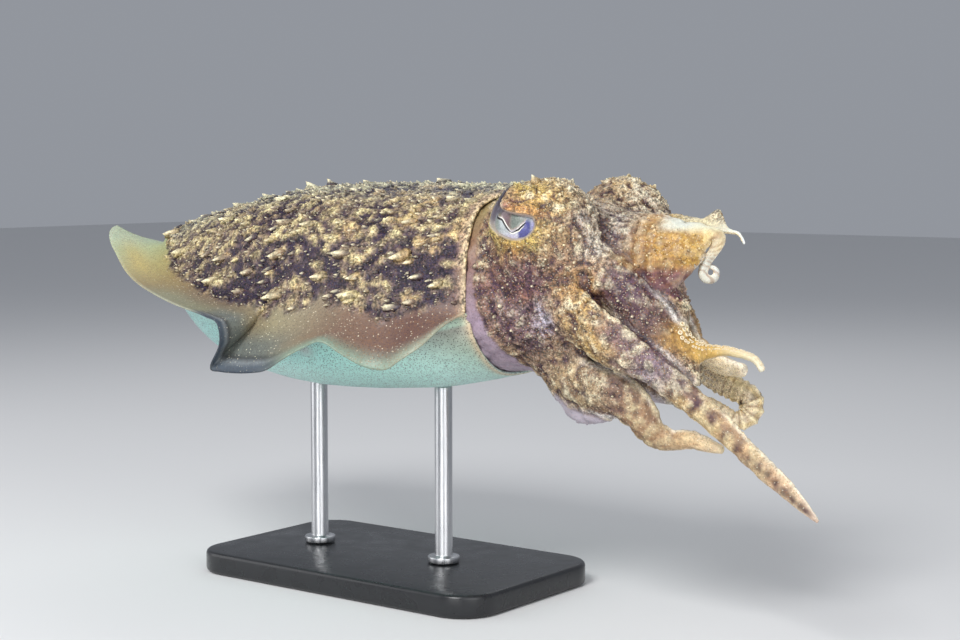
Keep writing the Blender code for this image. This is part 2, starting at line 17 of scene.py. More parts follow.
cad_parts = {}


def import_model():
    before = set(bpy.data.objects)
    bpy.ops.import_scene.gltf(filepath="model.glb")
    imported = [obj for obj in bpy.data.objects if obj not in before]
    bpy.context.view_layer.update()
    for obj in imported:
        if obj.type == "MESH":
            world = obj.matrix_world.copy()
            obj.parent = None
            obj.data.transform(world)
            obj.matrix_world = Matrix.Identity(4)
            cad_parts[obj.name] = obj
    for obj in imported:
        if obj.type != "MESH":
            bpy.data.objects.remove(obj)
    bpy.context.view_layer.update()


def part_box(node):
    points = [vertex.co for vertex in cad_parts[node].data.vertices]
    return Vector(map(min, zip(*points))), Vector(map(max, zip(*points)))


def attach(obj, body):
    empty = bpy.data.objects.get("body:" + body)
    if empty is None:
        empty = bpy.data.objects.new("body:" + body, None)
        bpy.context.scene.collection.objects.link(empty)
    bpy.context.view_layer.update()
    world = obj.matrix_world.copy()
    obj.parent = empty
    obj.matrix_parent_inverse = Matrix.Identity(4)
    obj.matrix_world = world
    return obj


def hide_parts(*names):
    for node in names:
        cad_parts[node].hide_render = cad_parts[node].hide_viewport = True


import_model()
bpy.ops.object.select_all(action="DESELECT")


# Mantle and fins ----------------------------------------------------------------------------------
# The trunk is a muscular bag over the cuttlebone, cast here in one skin with its fins: each ring
# of points runs from the middle of the back out along one fin, round its edge, back under it and
# down to the middle of the belly, on both sides at once.

MM = 0.001
BODY_AT = np.array((62.0, 0.0, 112.0))
MANTLE_LENGTH = 176.0
# Share of the length from the tail, half width, level of the back, of the belly, of the fin line.
MANTLE_SHAPE = [
    (0.00, 14.0, 12.5, 1.0, 7.0), (0.05, 16.5, 15.0, -9.0, 5.5), (0.10, 20.5, 17.0, -18.0, 2.8),
    (0.20, 30.0, 21.0, -30.0, -4.0), (0.30, 37.0, 25.2, -37.0, -8.5), (0.45, 43.6, 30.2, -41.4, -13.4),
    (0.60, 46.0, 32.2, -42.0, -15.5), (0.80, 43.8, 32.4, -39.5, -14.5), (0.90, 41.0, 32.6, -36.8, -12.3),
    (1.00, 38.0, 33.0, -33.0, -9.0)]
TAIL_ROUNDING = 0.10
TAIL_LEVEL = 8.0
BACK_ROUNDNESS = 2.3
BELLY_ROUNDNESS = 2.0
# How far forward the margin lies, from the middle of the belly at -1 to that of the back at 1.
MARGIN = [(-1.0, -4.0), (-0.9, -1.6), (-0.7, 1.0), (-0.4, 2.0), (-0.1, 1.0), (0.3, -1.0), (0.53, -2.2),
          (0.74, -3.8), (0.84, -3.6), (0.92, 0.0), (0.975, 5.6), (1.0, 9.0)]
MARGIN_FROM = 0.7
# How far the fin's edge lies behind, outside and above the line where it leaves the body.
FIN_RIGHT = [
    (0.00, 8.5, 20.0, 8.0), (0.04, 9.0, 19.5, 6.2), (0.08, 10.5, 18.0, 5.4), (0.15, 9.8, 18.8, 4.8),
    (0.23, 8.0, 19.9, 3.6), (0.31, 5.8, 21.0, 3.0), (0.46, 4.5, 21.9, 2.9), (0.51, 3.0, 22.3, 2.0),
    (0.535, 1.2, 22.8, 0.2), (0.55, 5.0, 20.6, -7.3), (0.565, 16.5, 16.4, -16.2),
    (0.58, 14.2, 16.2, -17.1), (0.60, 10.2, 16.0, -17.0), (0.625, 7.2, 16.1, -16.3),
    (0.65, 4.5, 17.2, -15.0), (0.69, 1.1, 20.4, -10.4), (0.73, -1.8, 21.9, -6.0),
    (0.77, -3.5, 22.7, -3.4), (0.81, -3.0, 20.6, -8.0), (0.85, -3.2, 17.8, -13.0),
    (0.88, -4.5, 16.4, -14.4), (0.91, -5.0, 17.0, -11.8), (0.945, -4.2, 13.0, -8.0),
    (0.975, -1.6, 6.0, -3.0), (1.00, 0.0, 0.4, -0.4)]
FIN_LEFT = [
    (0.00, 8.0, 20.5, -4.0), (0.10, 10.0, 19.5, -7.0), (0.22, 8.0, 19.0, -10.0), (0.34, 5.5, 21.0, -5.0),
    (0.45, 4.0, 22.0, 1.0), (0.56, 2.0, 21.5, -5.0), (0.66, 0.0, 18.5, -12.0), (0.76, -2.0, 21.5, -5.0),
    (0.85, -4.0, 22.0, 1.0), (0.92, -4.5, 17.0, -4.0), (0.95, -3.5, 12.0, -4.0),
    (0.975, -1.6, 5.5, -2.5), (1.00, 0.0, 0.4, -0.4)]
# The bend between root and edge, as shares of the fin's reach behind, outside and above.
FIN_BEND = (0.5, 0.6, 0.1)
FIN_ROOT_HALF = 2.6
FIN_EDGE_HALF = 0.45
FIN_ROOT_DEPTH = 3.0
# The share of the blade that is buried in the flank.
FIN_BURIED = 0.16
# How far round the back ends and the belly begins, in half turns; the fin comes between them.
BACK_TO, BELLY_FROM = 0.455, 0.545
# The fillets above and under the fin's root, in points of the ring.
BACK_FILLET, BELLY_FILLET = 8.0, 1.6
BACK_POINTS = 60
BELLY_POINTS = 22
FIN_POINTS = 14
STATIONS = 150
FIRST_STATION = 0.0015
# Rings crowd at the fin's fold and at the tail: (share of the length, reach, how much closer).
CROWDING = ((0.563, 0.022, 2.6), (0.0, 0.05, 1.5))
FILLET_ROUNDS = 50
# The lip's rings, outermost first: (inset, distance ahead of the margin).
LIP = ((0.25, 0.45), (0.65, 0.6), (1.05, 0.4), (1.3, -0.3), (1.7, -3.0), (3.4, -12.0))


def read(table, at):
    """The columns of a table at many places at once, on smooth curves through its rows."""
    rows = np.array(table, float)
    x, values = rows[:, 0], rows[:, 1:]
    at = np.clip(np.asarray(at, float), x[0], x[-1])
    k = np.clip(np.searchsorted(x, at, side="right") - 1, 0, len(x) - 2)
    before = np.maximum(np.arange(len(x)) - 1, 0)
    after = np.minimum(np.arange(len(x)) + 1, len(x) - 1)
    slope = (values[after] - values[before]) / (x[after] - x[before])[:, None]
    step = (x[k + 1] - x[k])[..., None]
    t = (at - x[k])[..., None] / step
    bend = t * (1 - t) ** 2 * slope[k] - t ** 2 * (1 - t) * slope[k + 1]
    found = values[k] + (values[k + 1] - values[k]) * t * t * (3 - 2 * t) + bend * step
    return np.moveaxis(found, -1, 0)


def ease(x, low=0.0, high=1.0):
    """A smooth step from 0 at low to 1 at high."""
    x = np.clip((x - low) / (high - low), 0.0, 1.0)
    return x * x * (3 - 2 * x)


def band(x, low, full, fading, high):
    """Rises from 0 at low to 1 at full, and falls back from fading to high."""
    return ease(x, low, full) * (1 - ease(x, fading, high))


def spot(*terms):
    """1 in one place and fading round it; every three terms are a value, its place and reach."""
    threes = zip(terms[::3], terms[1::3], terms[2::3])
    return np.exp(-sum(((value - at) / reach) ** 2 for value, at, reach in threes))


def unit(v):
    """Vectors brought to a length of 1."""
    return v / (np.linalg.norm(v, axis=-1, keepdims=True) + 1e-9)


def mantle_shape(share):
    """Half width and levels of the back, belly and fin line, rounded off at the tail."""
    wide, *levels = read(MANTLE_SHAPE, share)
    rounding = np.sqrt(1 - np.maximum(0.0, 1 - share / TAIL_ROUNDING) ** 2)
    return [wide * rounding] + [TAIL_LEVEL + (level - TAIL_LEVEL) * rounding for level in levels]


def trunk_points(share, angle, side, inset=0.0, ahead=0.0):
    """Points of the bare trunk: angle 0 is the middle of the back and pi that of the belly."""
    wide, top, belly, line = mantle_shape(share)
    up, out = np.cos(angle), np.abs(np.sin(angle))
    power = np.where(up > 0, 2 / BACK_ROUNDNESS, 2 / BELLY_ROUNDNESS)
    height = np.where(up > 0, top - inset - line, line - belly - inset)
    y = side * (wide - inset) * out ** power
    z = line + np.sign(up) * height * np.abs(up) ** power
    x = (share - 1) * MANTLE_LENGTH + read(MARGIN, up)[0] * ease(share, MARGIN_FROM) + ahead
    return np.stack([x, y, z], -1)


def fin_sheet(table, share, side, t):
    """The middle of the fin's blade, t running from its root at 0 to its edge at 1."""
    wide, _, _, line = mantle_shape(share)
    back, out, rise = read(table, share)
    x = (share - 1) * MANTLE_LENGTH
    root = np.stack([x, side * (wide - FIN_ROOT_DEPTH * np.minimum(1, wide / 12)), line], -1)
    edge = np.stack([x - back, side * (wide + out), line + rise], -1)
    behind, outside, above = FIN_BEND
    bend = np.stack([x - behind * back, side * (wide + outside * out), line + above * rise], -1)
    t = t[..., None]
    return root * (1 - t) ** 2 + bend * 2 * t * (1 - t) + edge * t ** 2


def flank(table, side, shares):
    """One side of every ring, from the middle of the back to the middle of the belly."""
    s = shares[:, None]
    back_angle = np.linspace(0, BACK_TO * math.pi, BACK_POINTS)[None] + 0 * s
    belly_angle = np.linspace(BELLY_FROM * math.pi, math.pi, BELLY_POINTS)[None] + 0 * s
    t = np.linspace(FIN_BURIED, 1.0, FIN_POINTS)[None] + 0 * s
    sheet = fin_sheet(table, s + 0 * t, side, t)
    along, across = np.gradient(sheet, axis=0), np.gradient(sheet, axis=1)
    normal = unit(np.cross(along, across)) * side
    half = FIN_EDGE_HALF + (FIN_ROOT_HALF - FIN_EDGE_HALF) * (1 - t) ** 2
    half = (half * np.minimum(1, s / 0.02 + 0.3))[..., None]
    tip = sheet[:, -1:] + 0.6 * FIN_EDGE_HALF * unit(across[:, -1:])
    ring = np.concatenate([trunk_points(s + 0 * back_angle, back_angle, side),
                           sheet + normal * half, tip, (sheet - normal * half)[:, ::-1],
                           trunk_points(s + 0 * belly_angle, belly_angle, side)], axis=1)
    # A wide fillet where the fin leaves the back, and a tighter one under it.
    place = np.arange(ring.shape[1])
    loose = spot(place, BACK_POINTS, BACK_FILLET)
    loose += 0.5 * spot(place, ring.shape[1] - BELLY_POINTS, BELLY_FILLET)
    for _ in range(FILLET_ROUNDS):
        middle = 0.5 * (ring[:, :-2] + ring[:, 2:])
        ring[:, 1:-1] += 0.5 * loose[None, 1:-1, None] * (middle - ring[:, 1:-1])
    return ring


dense = np.linspace(0, 1, 2001)
crowding = np.ones(len(dense))
for at, reach, closer in CROWDING:
    crowding += closer * spot(dense, at, reach)
reached = np.cumsum(crowding) - crowding[0]
shares = np.interp(np.linspace(0, 1, STATIONS), reached / reached[-1], dense)
shares[0] = FIRST_STATION
right, left = flank(FIN_RIGHT, -1, shares), flank(FIN_LEFT, 1, shares)
rings = np.concatenate([right, left[:, -2:0:-1]], axis=1)
half_ring = right.shape[1]
around = rings.shape[1]

# The lip turns the margin inwards round its own thickness, and the recess takes the neck.
last = rings[-1]
outward = np.roll(last, -1, 0) - np.roll(last, 1, 0)
outward = unit(np.stack([0 * outward[:, 0], outward[:, 2], -outward[:, 1]], -1))
outward *= np.sign((outward[:, 1:] * (last[:, 1:] - last[:, 1:].mean(0))).sum(-1))[:, None]
lips = [last - outward * inset + (ahead, 0, 0) for inset, ahead in LIP]
trunk_rings = np.concatenate([rings, lips])


def loft_faces(count, around, first=0):
    """Quads between rings of points, all turned the same way."""
    i = np.arange(around)
    j = (i + 1) % around
    rows = first + around * np.arange(count - 1)[:, None]
    return np.stack([rows + i, rows + j, rows + around + j, rows + around + i], -1).reshape(-1, 4)


def fan(start, around, hub, inwards=False):
    """Triangles from a ring of points to its middle point."""
    turn = -1 if inwards else 1
    return [(*(start + i, start + (i + 1) % around)[::turn], hub) for i in range(around)]


def end_fans(count, around, first=0):
    """Fans from a loft's first and last rings to the two middle points stored after its rings."""
    hub = first + count * around
    return fan(first, around, hub, inwards=True) + fan(hub - around, around, hub + 1)


trunk_faces = [tuple(f) for f in loft_faces(len(trunk_rings), around)]
# The tail closes upper side to under side, stitch by stitch, and the recess on a fan.
outside = np.abs(rings[0][:, 1])
for turn_back in (False, True):
    upper = list(range(BACK_POINTS + FIN_POINTS + 1))
    lower = list(range(half_ring - 1, BACK_POINTS + FIN_POINTS - 1, -1))
    if turn_back:
        upper, lower = ([(around - k) % around for k in side] for side in (upper, lower))
    i = j = 0
    while i < len(upper) - 1 or j < len(lower) - 1:
        if j == len(lower) - 1 or (i < len(upper) - 1 and outside[upper[i + 1]] < outside[lower[j + 1]]):
            stitch = (upper[i], upper[i + 1], lower[j])
            i += 1
        else:
            stitch = (upper[i], lower[j + 1], lower[j])
            j += 1
        if len(set(stitch)) == 3:
            trunk_faces.append(stitch if turn_back else stitch[::-1])
trunk_points_all = trunk_rings.reshape(-1, 3)
hub = len(trunk_points_all)
trunk_points_all = np.concatenate([trunk_points_all, [trunk_rings[-1].mean(0)]])
trunk_faces += fan(hub - around, around, hub)


# Head, funnel and arms ----------------------------------------------------------------------------
# The head is solid muscle round the skull, with a dome over each eye, the jet funnel under it
# and eight arms that grow out of its front. Each part is drawn as a loft, and all are blended
# into one skin as clay would be: wide fillets at the roots, none where arms only touch.

VOXEL = 0.92
BAND = 9
GRID_LOW = np.array((-18.0, -46.0, -74.0))
GRID_HIGH = np.array((118.0, 46.0, 40.0))
GRID = tuple(int(v) for v in np.ceil((GRID_HIGH - GRID_LOW) / VOXEL))
HEAD_SHAPE = [
    (0, 33.0, 28.0, -28.0), (12, 33.5, 28.0, -29.0), (24, 32.0, 28.0, -31.0), (36, 28.0, 25.0, -30.5),
    (45, 22.0, 19.5, -26.5), (52, 14.5, 11.5, -19.5), (56, 7.0, 4.0, -11.0)]
HEAD_ROUNDNESS = 2.25
HEAD_WIDEST_DROP = 2.0
HEAD_SIDES = 72
NECK_TO_HEAD = 14.0
# The neck: (place along the margin's curve, inset from the mantle's outside).
NECK = ((-11.6, 4.4), (-8, 3.0), (-3, 1.8), (0.5, 1.35), (2.5, 1.6), (4.5, 2.4))
EYE_DOME_AT = np.array((23.5, 22.5, 15.0))
EYE_DOME_SIZE = np.array((18.8, 15.5, 20.5))
EYE_DOME_FILLET = 6.0
EYE_AT = np.array((19.5, 28.0, 20.0))
EYE_RADIUS = 11.3
FUNNEL_SHAPE = [(0, -8, -12, 24.0, 12.0), (1, 3, -16, 22.0, 13.0), (2, 13, -21.5, 16.0, 12.0),
                (3, 22, -27.5, 10.5, 9.5), (4, 30, -32.5, 6.5, 6.5)]
FUNNEL_ROWS, FUNNEL_SIDES = 33, 40
FUNNEL_FILLET = 3.0
FUNNEL_WALL = 1.8
# The bore starts at this row, reaches this far past the end, and rounds the rim so much.
BORE_FROM, BORE_PAST, BORE_FILLET = 20, 1.5, 1.2
MOUTH_AT = np.array((51.5, 0.0, -4.0))
MOUTH_RADIUS = 6.5
MOUTH_FILLET = 3.0
# The web that joins the arms round the mouth: middle and radius of each of its sections.
WEB = ((44, -6, -7, 15), (52, -11, -9, 13.5), (59, -14.5, -13, 11), (65, -17, -17, 8.5),
       (71, -18, -21.5, 6), (76, -19, -25.5, 3.5), (79, -19.5, -28, 1.2))
WEB_FILLET = 5.0
# The web between the top two arms of the right side.
UPPER_WEB = ((54, -12, -1, 8), (60, -13, -3, 7), (65, -12, -5, 5.5), (69, -11, -8, 3.5))
UPPER_WEB_FILLET = 3.0
# The fillet beside an arm: its least, how much wider it is at the roots, and from where to
# where it narrows. The top pair parts sooner.
ARM_FILLET, TOP_ARM_FILLET = (1.0, 4.0, 44, 62), (0.8, 3.5, 46, 56)
ARM_SIDES, TIP_SIDES = 40, 26
ARM_INNER_DEPTH = 0.72
CURL_STEP_DEG = 28
# The plane in which a curled tip turns: its normal looks forward and to the animal's right.
CURL_NORMAL = Vector((0.60, -0.79, 0.09)).normalized()
# Arms, numbered from the top pair (1) to the bottom pair (4). Each has the way that it takes,
# its half widths at even steps from root to tip, and the compass angle of its outer side round
# the mouth, from 0 at the top to 180 underneath. A frill is a thin blade along one edge.
ARMS = {
    "right_4": dict(
        path=[(12, -17, -18), (20, -19, -23), (27, -20, -27), (35, -21, -30.8),
              (43.5, -21, -32.4), (50.5, -20, -34), (56.3, -19, -39), (60.2, -18, -44.3),
              (67, -17, -47.3), (74, -16.5, -46.7), (84.5, -16, -48.6)],
        widths=[6.0, 6.8, 7.2, 7.5, 7.6, 7.5, 6.6, 5.0, 3.4, 2.9, 1.5], faces=108,
        flatness=0.62, frill=dict(at=0.33, spread=0.15, height=6.5, toward=90)),
    "left_4": dict(
        path=[(20, 16, -22), (28, 15, -25), (36, 14, -28.3), (44.6, 13, -32), (53, 12, -36),
              (65.3, 12, -43.7), (74.5, 11, -50.1), (79.4, 11, -53.5)],
        widths=[6.0, 6.4, 6.2, 5.8, 5.2, 4.8, 4.2, 3.7, 3.2, 2.5, 1.2], faces=108,
        flatness=0.62, frill=dict(at=0.33, spread=0.15, height=5.0, toward=-90)),
    "right_3": dict(
        path=[(24, -26, 0), (32.4, -29, -4), (41, -30, -9), (48.2, -29.5, -14),
              (56.1, -29, -18.3), (64.8, -27.5, -23), (72.6, -26, -28.4), (85.4, -23.5, -37.8),
              (96.6, -22, -47.4), (109.7, -21, -57.7), (119.7, -20, -66.5)],
        widths=[7.0, 7.8, 8.0, 7.6, 5.5, 4.8, 4.4, 3.9, 3.4, 2.8, 0.7], faces=100,
        flatness=0.62),
    "left_3": dict(
        path=[(36, 16, -15), (44, 12.5, -19.5), (53.3, 9.5, -22.4), (61.8, 7.5, -26.8),
              (68.5, 7, -29.6), (80, 7, -33.9)],
        widths=[6.5, 6.2, 5.6, 5.0, 4.6, 4.2, 3.9, 3.7, 3.2, 2.3, 0.8], faces=80,
        flatness=0.85, curl=dict(turn=-192, radius=4.7, shrink=0.92, tail=9)),
    "right_2": dict(
        path=[(34, -25, 9), (43.8, -23, 5.5), (53.2, -23, 0), (59.5, -21, -6.7),
              (64.2, -18, -13.6), (69.1, -15.5, -17.6), (75.2, -14, -19.0), (83.7, -11.5, -18.4),
              (91, -10, -19.9), (93.4, -9.5, -21.3), (94.7, -9, -23.6)],
        widths=[7.0, 7.2, 6.8, 6.5, 6.3, 6.5, 6.0, 3.1, 1.6, 1.25, 1.1], faces=80,
        flatness=0.75),
    "left_2": dict(
        path=[(45, 12, -1.5), (51.4, 8, -4.4), (56.6, 4.5, -8.6),
              (60.5, 2.5, -12.9), (64.5, 1, -17.8), (70.7, 0, -22.4), (76.2, -1, -24.3),
              (83.1, -1, -25.4)],
        widths=[7.0, 6.8, 6.4, 6.0, 5.4, 4.9, 4.4, 3.8, 3.4, 3.1, 2.3], faces=70,
        flatness=0.75),
    "right_1": dict(
        path=[(36.5, -12.5, 10.9), (48.1, -12, 10.9), (58.7, -11, 11.5),
              (66.7, -9, 13.9), (72.1, -7, 16.5), (76, -6, 17), (77.4, -6.5, 15.2),
              (76.2, -7.5, 12.3), (74.1, -8, 9.3), (73.2, -8.5, 6.4)],
        widths=[11.0, 12.2, 12.8, 13.0, 11.8, 8.6, 3.8, 1.9, 1.6, 1.4, 0.8], faces=66,
        flatness=0.55, curl=dict(turn=285, radius=2.3, shrink=0.85)),
    "left_1": dict(
        path=[(40, 9, 15.5), (46, 8.5, 17), (53, 8, 18), (64, 6, 18.6), (70.5, 5, 18.4),
              (74.7, 4, 18.2), (78.5, 3.5, 17.9), (80.2, 3.2, 16.6), (81.3, 3, 14.7)],
        widths=[8.5, 8.2, 7.6, 6.8, 5.8, 4.4, 2.8, 1.4, 0.8, 0.6, 0.5], faces=18,
        flatness=0.8, frill=dict(at=0.68, spread=0.09, height=5.6, toward=0)),
}
# Beyond this share of its length, an arm is its own fine loft, too thin for the blended skin.
TIP_FROM = {"right_4": 0.80, "left_4": 0.80, "right_3": 0.80, "left_3": 0.42, "right_2": 0.68,
            "left_2": 0.80, "right_1": 0.53, "left_1": 0.42}
HANDOVER = 5.0
HANDOVER_STEP = 0.35
# The membrane on an arm's edges stands out by this share, and it and a frill are this narrow.
MEMBRANE, MEMBRANE_REACH, FRILL_REACH = 0.12, 0.26, 0.30


def curl(path, turn, radius, shrink, tail=0.0):
    """Adds a curled tip to a path: it turns about CURL_NORMAL while its radius shrinks."""
    path = [Vector(p) for p in path]
    way = path[-1] - path[-2]
    way = (way - CURL_NORMAL * way.dot(CURL_NORMAL)).normalized()
    steps = round(abs(turn) / CURL_STEP_DEG)
    angle = math.radians(turn) / steps
    for k in range(steps):
        now = radius * (1 + (shrink - 1) * (k + 0.5) / steps)
        chord = 2 * now * math.sin(abs(angle) / 2)
        path.append(path[-1] + (Matrix.Rotation(angle / 2, 3, CURL_NORMAL) @ way) * chord)
        way = Matrix.Rotation(angle, 3, CURL_NORMAL) @ way
    if tail:
        path.append(path[-1] + way * tail)
    return path


def bridged(a, b, c, d, steps):
    """Points on smooth curves from b to c, bent to suit the points before and after them."""
    t = (np.arange(steps) / steps)[None, :, None]
    curve = 0.5 * (2 * b + (c - a) * t + (2 * a - 5 * b + 4 * c - d) * t ** 2
                   + (3 * b - 3 * c + d - a) * t ** 3)
    return curve.reshape(-1, b.shape[-1])


def smooth_curve(points, steps=16):
    """Closely spaced points on a smooth curve through the given ones."""
    p = np.array([tuple(v) for v in points], float)
    p = np.concatenate([[2 * p[0] - p[1]], p, [2 * p[-1] - p[-2]]])
    return np.concatenate([bridged(*(p[k:len(p) - 3 + k, None] for k in range(4)), steps), p[-2:-1]])


def turned_from(angle, at):
    """How far an angle is turned from another, the short way round."""
    return (angle - at + math.pi) % math.tau - math.pi


def arm_stations(shape):
    """Closely spaced stations: share of the length, centre, way, outer side and half width."""
    path = curl(shape["path"], **shape["curl"]) if "curl" in shape else shape["path"]
    line = smooth_curve(path)
    reached = np.concatenate([[0], np.cumsum(np.linalg.norm(np.diff(line, axis=0), axis=1))])
    share = reached / reached[-1]
    ways = unit(line[np.minimum(np.arange(len(line)) + 3, len(line) - 1)]
                - line[np.maximum(np.arange(len(line)) - 3, 0)])
    side = -1 if line[0][1] < 0 else 1
    facing = math.radians(shape["faces"])
    out, outs = np.array((0, side * math.sin(facing), math.cos(facing))), []
    for way in ways:
        out = unit(out - way * out.dot(way))
        outs.append(out)
    wide, = read([(k / 10, width) for k, width in enumerate(shape["widths"])], share)
    keep = [0]
    for k in range(len(line)):
        if reached[k] - reached[keep[-1]] >= max(0.25, min(0.8, 0.3 * wide[k])):
            keep.append(k)
    return share[keep], line[keep], ways[keep], np.array(outs)[keep], wide[keep], reached[keep]


def arm_rings(shape, stations, sides, swell):
    """Sections: flat on the sucker side, arched outside, with a thin membrane on each edge."""
    share, centre, way, out, wide, _ = stations
    across = np.cross(way, out)[:, None]
    angle = math.tau * np.arange(sides) / sides
    thick = wide * (shape["flatness"] + (1 - shape["flatness"]) * share ** 2)
    depth = np.where(np.cos(angle) > 0, 1, ARM_INNER_DEPTH) * np.cos(angle)
    edge = sum(spot(turned_from(angle, at), 0, MEMBRANE_REACH) for at in (math.pi / 2, -math.pi / 2))
    grown = (wide + swell)[:, None] * (np.sin(angle) * (1 + MEMBRANE * edge))
    rings = centre[:, None] + across * grown[..., None]
    rings = rings + out[:, None] * ((thick + swell)[:, None] * depth)[..., None]
    frill = shape.get("frill")
    if frill:
        rise = frill["height"] * spot(share, frill["at"], frill["spread"])
        blade = rise[:, None] * spot(turned_from(angle, math.radians(frill["toward"])), 0, FRILL_REACH)
        rings = rings + unit(rings - centre[:, None]) * blade[..., None]
    return rings


def distance_to(rings):
    """Signed distance to a closed loft, in millimetres, at every point of the grid."""
    count, sides = len(rings), rings.shape[1]
    points = np.concatenate([rings.reshape(-1, 3), [rings[0].mean(0), rings[-1].mean(0)]])
    grid = openvdb.FloatGrid.createLevelSetFromPolygons(
        points=((points - GRID_LOW) / VOXEL).astype(np.float32),
        triangles=np.array(end_fans(count, sides), np.uint32),
        quads=loft_faces(count, sides).astype(np.uint32),
        transform=openvdb.createLinearTransform(1.0), halfWidth=BAND)
    found = np.empty(GRID, np.float32)
    grid.copyToArray(found)
    return found * VOXEL


def blended(a, b, fillet):
    """The union of two signed distances, with a fillet."""
    near = np.maximum(fillet - np.abs(a - b), 0) / fillet
    return np.minimum(a, b) - near * near * fillet * 0.25


axes = [low + VOXEL * np.arange(n, dtype=np.float32) for low, n in zip(GRID_LOW, GRID)]
gx, gy, gz = np.meshgrid(*axes, indexing="ij")

# The neck fits the mantle's recess, and the skull widens ahead of it.
angle = math.tau * np.arange(HEAD_SIDES) / HEAD_SIDES
neck = [trunk_points(np.ones(HEAD_SIDES), np.minimum(angle, math.tau - angle),
                     np.sign(math.pi - angle), inset, ahead) for ahead, inset in NECK]
skull = []
for ahead in np.arange(NECK_TO_HEAD, HEAD_SHAPE[-1][0] + 0.1, 1.0):
    wide, high, low = read(HEAD_SHAPE, ahead)
    level = 0.5 * (high + low) - HEAD_WIDEST_DROP
    up, out = np.cos(angle), np.sin(angle)
    bulge = 2 / HEAD_ROUNDNESS
    z = level + np.where(up > 0, high - level, level - low) * np.sign(up) * np.abs(up) ** bulge
    skull.append(np.stack([0 * up + ahead, wide * np.sign(out) * np.abs(out) ** bulge, z], -1))
flesh = distance_to(np.array(neck + skull))
for side in (-1, 1):
    away = [(g - c) / s for g, c, s in zip((gx, gy, gz), EYE_DOME_AT * (1, side, 1), EYE_DOME_SIZE)]
    r = np.sqrt(sum(a * a for a in away)) + 1e-6
    slant = np.sqrt(sum((a / s) ** 2 for a, s in zip(away, EYE_DOME_SIZE))) + 1e-6
    flesh = blended(flesh, (r * (r - 1) / slant).astype(np.float32), EYE_DOME_FILLET)

# The funnel lies in the mantle opening; its mouth is bored after the arms are on.
row = np.linspace(0, FUNNEL_SHAPE[-1][0], FUNNEL_ROWS)
fx, fz, fw, fh = read(FUNNEL_SHAPE, row)
lean = unit(np.stack([np.gradient(fx), 0 * fx, np.gradient(fz)], -1))
lift = np.stack([-lean[:, 2], 0 * fx, lean[:, 0]], -1)[:, None]
spine = np.stack([fx, 0 * fx, fz], -1)[:, None]
turn = math.tau * np.arange(FUNNEL_SIDES)[None, :, None] / FUNNEL_SIDES
sideways = np.array((0, 1.0, 0)) * np.sin(turn)


def funnel_tube(inset):
    """The funnel's rings, drawn in from its outside."""
    half_wide, half_high = ((half - inset)[:, None, None] for half in (fw, fh))
    return spine + sideways * half_wide + lift * np.cos(turn) * half_high


flesh = blended(flesh, distance_to(funnel_tube(0.0)), FUNNEL_FILLET)

arms = {name: arm_stations(shape) for name, shape in ARMS.items()}
tip_rings = {}
for name, shape in ARMS.items():
    share, reached = arms[name][0], arms[name][-1]
    handover = np.interp(TIP_FROM[name], share, reached)
    thick_part = reached < handover + 1.6 * HANDOVER
    swell = -HANDOVER_STEP * ease(reached, handover, handover + HANDOVER)
    stations = [v[thick_part] for v in arms[name]]
    least, wider, *narrowing = TOP_ARM_FILLET if name[-1] == "1" else ARM_FILLET
    fillet = (least + wider * (1 - ease(gx, *narrowing))).astype(np.float32)
    flesh = blended(flesh, distance_to(arm_rings(shape, stations, ARM_SIDES, swell[thick_part])), fillet)
    thin_part = reached > handover - HANDOVER
    swell = -HANDOVER_STEP * (1 - ease(reached, handover - HANDOVER, handover))
    stations = [v[thin_part] for v in arms[name]]
    tip_rings[name] = (arm_rings(shape, stations, TIP_SIDES, swell[thin_part]), stations)
circle = np.stack([0 * angle, np.cos(angle), np.sin(angle)], -1)
for sections, fillet in ((WEB, WEB_FILLET), (UPPER_WEB, UPPER_WEB_FILLET)):
    web = np.array([np.array(at) + radius * circle for *at, radius in sections])
    flesh = blended(flesh, distance_to(web), fillet)
mouth = np.sqrt(sum((g - c) ** 2 for g, c in zip((gx, gy, gz), MOUTH_AT))) - MOUTH_RADIUS
flesh = blended(flesh, mouth.astype(np.float32), MOUTH_FILLET)
bore = distance_to(funnel_tube(FUNNEL_WALL)[BORE_FROM:] + (lean[BORE_FROM:, None] * BORE_PAST))
flesh = -blended(-flesh, bore, BORE_FILLET)


def sampled(field, points):
    """A grid's values at points between its own."""
    at = np.clip((points - GRID_LOW) / VOXEL, 0, np.array(GRID) - 1.001)
    low = at.astype(int)
    f = at - low
    total = 0
    for corner in range(8):
        pick = np.array([corner >> 2 & 1, corner >> 1 & 1, corner & 1])
        weight = np.prod(np.where(pick, f, 1 - f), axis=1)
        total = total + weight * field[tuple((low + pick).T)]
    return total


# The opening of the eye, seen from its centre: degrees forward of the side, and degrees up.
EYE_OPENING = [
    (-42, 67), (-34, 63), (-27, 55), (-23, 46), (-22, 37), (-18, 29), (-10, 24), (0, 21), (11, 19),
    (22, 17), (32, 16), (40, 13), (43, 5), (42, -2), (37, -10), (27, -17), (11, -20), (-5, -17),
    (-20, -12), (-35, -5), (-44, 3), (-46, 13), (-45, 28), (-46, 42), (-49, 53), (-48, 62)]
DEGREE = EYE_RADIUS * math.pi / 180
# The lids stand out from a ball of this radius: a hood above the eye, a lower roll behind it, a
# furrow round both, and a brow. The brow is (degrees forward, reach, degrees up, reach).
LID_RADIUS, LID_REACH, LID_FILLET, RIM_FILLET = 12.5, 19.0, 2.2, 0.7
HOOD_RISE, REAR_RISE, ROLL_REACH = 1.3, 0.7, 3.4
FURROW_DEPTH, FURROW_AT, FURROW_REACH = 0.5, 4.6, 1.2
BROW_RISE, BROW = 1.5, (-38, 24, 63, 16)
